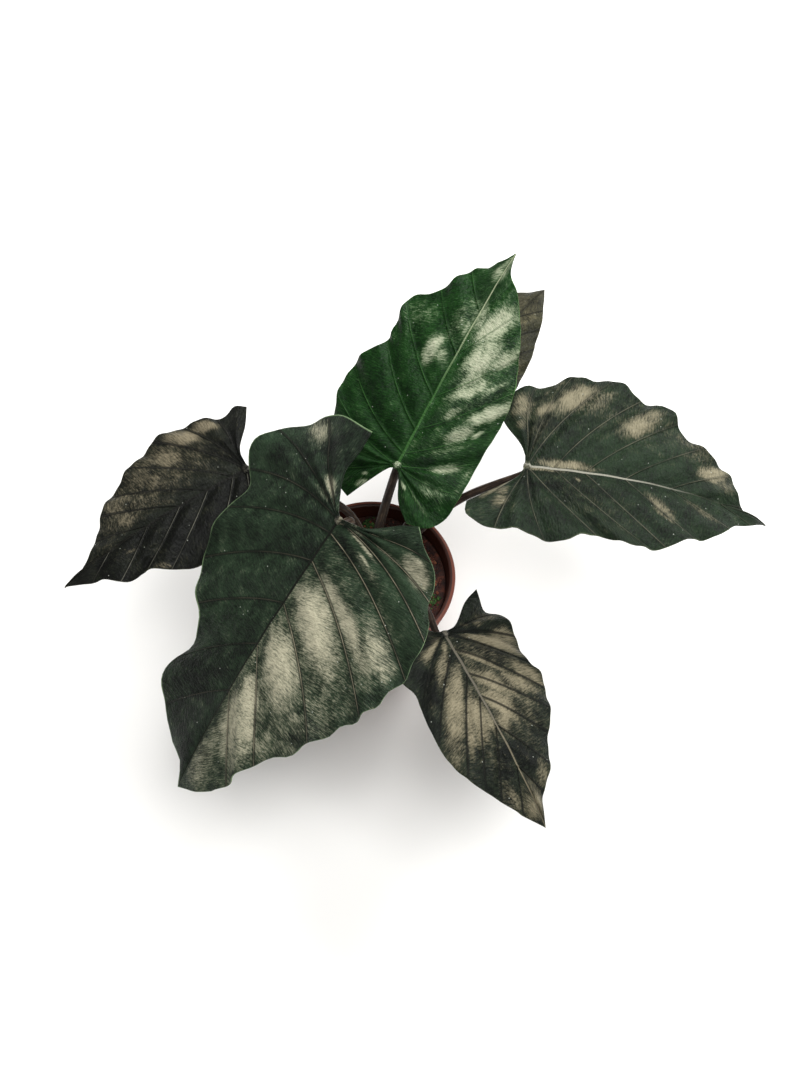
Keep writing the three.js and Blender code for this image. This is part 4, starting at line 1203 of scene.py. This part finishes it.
def build_sheaths():
    """Dry papery sheaths that stand up from the crown's shoulder, between the stalks."""
    angles = sorted(leaf["stalk"]["angle"] % 360 for leaf in LEAVES if not leaf["stalk"]["central"])
    flaps = []
    for number, start in enumerate(angles):
        room = (angles[(number + 1) % len(angles)] - start) % 360
        if room < 45:
            continue
        columns, rows = 13, 15
        flap, column, row = woven_grid("sheath", columns, rows)
        aside = 2 * column / (columns - 1) - 1
        up = row / (rows - 1)
        width = min(room / 2 - 22, 30) * np.sqrt(1 - 0.96 * up)
        angle = np.radians(start + room / 2 + aside * width + 4 * up)
        curl = 0.5 * np.sin(5 * aside + number) * up
        radius = CROWN_RADIUS - 1.4 + 2.6 * up ** 2 + curl
        height = CROWN_SHOULDER - 1 + (SHEATH_HEIGHT + 1.5 * math.sin(3 * number)) * up
        write_points(flap, np.column_stack([
            CROWN_PLACE[0] + radius * np.cos(angle), CROWN_PLACE[1] + radius * np.sin(angle),
            height]) * MM)
        select_only(flap)
        paper = flap.modifiers.new("paper", "SOLIDIFY")
        paper.thickness = SHEATH_THICKNESS * MM
        paper.offset = 0
        bpy.ops.object.modifier_apply(modifier=paper.name)
        flaps.append(flap)
    deselect()
    for flap in flaps:
        flap.select_set(True)
    bpy.context.view_layer.objects.active = flaps[0]
    bpy.ops.object.join()
    sheaths = bpy.context.object
    sheaths.name = "crown_sheaths"
    face_outwards(sheaths)
    return sheaths


# Blades

def build_blade(leaf):
    """A blade: a sheet woven along its side veins, thickened, then given its veins in relief."""
    halves = [half_surface(leaf, -1), half_surface(leaf, 1)]
    columns, half_rows = halves[0]["sheen"].shape
    piece, column, row = woven_grid(f"leaf_blade_{leaf['name']}", columns, 2 * half_rows - 1)
    out = row - (half_rows - 1)
    on_right = out >= 0
    step = np.abs(out)

    def laid(name):
        """A value of both halves, for each corner of the sheet."""
        left, right = (half[name][column, step] for half in halves)
        chosen = on_right[:, None] if right.ndim > 1 else on_right
        return np.where(chosen, right, left)

    write_points(piece, laid("point") * MM)
    for name in (*BLADE_VALUES, "top_lift", "under_lift"):
        store_values(piece, name, laid(name))
    store_fibres(piece, column, laid)
    merge_corners(piece)
    sheet_corners = len(piece.data.vertices)
    select_only(piece)
    wall = piece.modifiers.new("thickness", "SOLIDIFY")
    wall.thickness = THICKNESS * MM
    wall.offset = -1
    wall.material_offset = 1
    wall.material_offset_rim = 0
    bpy.ops.object.modifier_apply(modifier=wall.name)
    raise_veins(piece, sheet_corners)
    return piece


def raise_veins(piece, sheet_corners):
    """Moves the corners of both faces of a blade along their normals, by its relief values."""
    mesh = piece.data
    count = len(mesh.vertices)
    normals = np.zeros(count * 3)
    mesh.vertices.foreach_get("normal", normals)
    lifts = {}
    for name in ("top_lift", "under_lift"):
        lifts[name] = np.zeros(count)
        mesh.attributes[name].data.foreach_get("value", lifts[name])
    on_top = np.arange(count) < sheet_corners
    lift = np.where(on_top, lifts["top_lift"], lifts["under_lift"])
    write_points(piece, read_points(piece) + normals.reshape(-1, 3) * lift[:, None] * MM)
    for name in lifts:
        mesh.attributes.remove(mesh.attributes[name])


# Settings

class PlantColours(bpy.types.PropertyGroup):
    """Colours that hold for the whole plant."""
    pot: bpy.props.FloatVectorProperty(
        name="Pot", description="Colour of the nursery pot", subtype="COLOR", min=0, max=1,
        default=linear(0x74341d, alpha=False))
    stalk: bpy.props.FloatVectorProperty(
        name="Stalks", description="Colour of the leaf stalks", subtype="COLOR", min=0, max=1,
        default=linear(0x2a211b, alpha=False))


class PlantSizes(bpy.types.PropertyGroup):
    """Sizes and counts that a user would change."""
    pot_sides: bpy.props.IntProperty(
        name="Pot sides", description="Number of sides of the round pot", default=144, min=24)
    crumbs: bpy.props.IntProperty(
        name="Crumbs", description="Number of crumbs of potting mix on the soil", default=1500, min=0)
    floor_size: bpy.props.FloatProperty(
        name="Floor", description="Side of the floor", default=6, unit="LENGTH")


# Operators

class PLANT_OT_pot(bpy.types.Operator):
    """Make the nursery pot"""
    bl_idname = "plant.pot"
    bl_label = "Nursery pot"

    def execute(self, context):
        pot = build_pot(context.scene.plant_sizes.pot_sides)
        colour = context.scene.plant_colours.pot
        # The inner wall and the lip's inner part take about a fifth of the pot's colour, with less
        # dust.
        darker_inside = [0.22 * part for part in colour]
        finish_piece(pot, "pot_plastic", "pot", materials=[
            pot_plastic("moulded_polypropylene", colour, 0.22),
            pot_plastic("darker_inner_polypropylene", darker_inside, 0.06)])
        mark_inner_wall(pot)
        bpy.ops.object.shade_smooth_by_angle(angle=math.radians(35))
        return {"FINISHED"}


class PLANT_OT_soil(bpy.types.Operator):
    """Make the soil with its crumbs"""
    bl_idname = "plant.soil"
    bl_label = "Soil"

    def execute(self, context):
        mix = potting_mix("damp_peat", 0x120805, 0x3a1a10, 0x6b3722, 5)
        finish_piece(build_soil(), "soil", "soil", materials=[mix])
        crumbs = scatter("soil_crumbs", context.scene.plant_sizes.crumbs, 11, (0.5, 1.5), (1.2, 1, 0.7))
        finish_piece(crumbs, "soil", materials=[
            potting_mix("peat_crumbs", 0x120805, 0x4a2216, 0x8c5540, 3)])
        bark = scatter("bark_bits", 150, 12, (1.2, 2.8), (1.7, 0.8, 0.4))
        finish_piece(bark, "soil", materials=[
            potting_mix("bark", 0x2a1209, 0x6e3a22, 0xa5704a, 2.2)])
        moss = scatter("moss_tufts", 620, 13, (0.7, 1.9), (1.3, 1, 0.45), clumps=16)
        finish_piece(moss, "soil", materials=[
            potting_mix("moss", 0x14220a, 0x2e4d19, 0x5c7a38, 1.5)])
        return {"FINISHED"}


class PLANT_OT_crown(bpy.types.Operator):
    """Make the crown that the stalks rise from"""
    bl_idname = "plant.crown"
    bl_label = "Crown"

    def execute(self, context):
        finish_piece(build_crown(), "crown", "crown", materials=[
            sheath_skin("fleshy_crown", 0x241a14, 0x43342a, 0x6a5546)])
        bpy.ops.object.shade_smooth_by_angle(angle=math.radians(40))
        finish_piece(build_sheaths(), "crown", materials=[
            sheath_skin("papery_sheath", 0x3a281b, 0x6d5238, 0xa18561)])
        bpy.ops.object.shade_smooth_by_angle(angle=math.radians(40))
        return {"FINISHED"}


class PLANT_OT_stalks(bpy.types.Operator):
    """Make the six leaf stalks"""
    bl_idname = "plant.stalks"
    bl_label = "Leaf stalks"

    def execute(self, context):
        skin = stalk_skin()
        for leaf in LEAVES:
            finish_piece(build_stalk(leaf), "stalk", f"stalk_{leaf['name']}", materials=[skin])
        return {"FINISHED"}


class PLANT_OT_blades(bpy.types.Operator):
    """Make the six velvet blades"""
    bl_idname = "plant.blades"
    bl_label = "Blades"

    def execute(self, context):
        for leaf in LEAVES:
            slot = "blade_young" if leaf["name"] == "young" else "blade_dark"
            finish_piece(build_blade(leaf), slot, f"blade_{leaf['name']}", materials=[
                blade_top(leaf), blade_underside(leaf)])
        return {"FINISHED"}


class PLANT_OT_stage(bpy.types.Operator):
    """Make the floor, the lights and the camera"""
    bl_idname = "plant.stage"
    bl_label = "Stage"

    def execute(self, context):
        deselect()
        bpy.ops.mesh.primitive_plane_add(size=context.scene.plant_sizes.floor_size)
        floor = context.object
        floor.name = "studio_floor"
        floor.data.materials.append(studio_floor())
        for name, place, size, power in STUDIO_LIGHTS:
            bpy.ops.object.light_add(type="AREA", location=place)
            light = context.object
            light.name = name
            light.data.size = size
            light.data.energy = power
            aim = Vector(PLANT_MIDDLE) - Vector(place)
            light.rotation_euler = aim.to_track_quat("-Z", "Y").to_euler()
        world = bpy.data.worlds.new("pale_studio")
        world.use_nodes = True
        world.node_tree.nodes["Background"].inputs["Color"].default_value = linear(0xffffff)
        world.node_tree.nodes["Background"].inputs["Strength"].default_value = WORLD_STRENGTH
        context.scene.world = world
        context.scene.view_settings.view_transform = "Standard"
        bpy.ops.object.camera_add(location=CAMERA_PLACE, rotation=(math.radians(CAMERA_TILT), 0, 0))
        camera = context.object
        camera.data.lens = CAMERA_LENS
        camera.data.sensor_width = 36
        camera.data.clip_start = 0.01
        context.scene.camera = camera
        return {"FINISHED"}


class PLANT_PT_panel(bpy.types.Panel):
    """Lists the plant's steps and settings"""
    bl_label = "Potted velvet alocasia"
    bl_idname = "PLANT_PT_panel"
    bl_space_type = "VIEW_3D"
    bl_region_type = "UI"
    bl_category = "Plant"

    def draw(self, context):
        for settings in (context.scene.plant_sizes, context.scene.plant_colours):
            for name in settings.__annotations__:
                self.layout.prop(settings, name)
        for step in STEPS:
            self.layout.operator(step.bl_idname)


STEPS = (PLANT_OT_pot, PLANT_OT_soil, PLANT_OT_crown, PLANT_OT_stalks, PLANT_OT_blades, PLANT_OT_stage)
CLASSES = (PlantColours, PlantSizes, *STEPS, PLANT_PT_panel)


def register():
    """Registers the classes and hangs the settings on the scene."""
    for item in CLASSES:
        bpy.utils.register_class(item)
    bpy.types.Scene.plant_colours = bpy.props.PointerProperty(type=PlantColours)
    bpy.types.Scene.plant_sizes = bpy.props.PointerProperty(type=PlantSizes)


def unregister():
    """Takes the settings and the classes away again."""
    del bpy.types.Scene.plant_sizes
    del bpy.types.Scene.plant_colours
    for item in reversed(CLASSES):
        bpy.utils.unregister_class(item)


def main():
    """Makes the plant step by step."""
    register()
    bpy.ops.plant.pot()
    bpy.ops.plant.soil()
    bpy.ops.plant.crown()
    bpy.ops.plant.stalks()
    bpy.ops.plant.blades()
    bpy.ops.plant.stage()


if __name__ == "__main__":
    main()
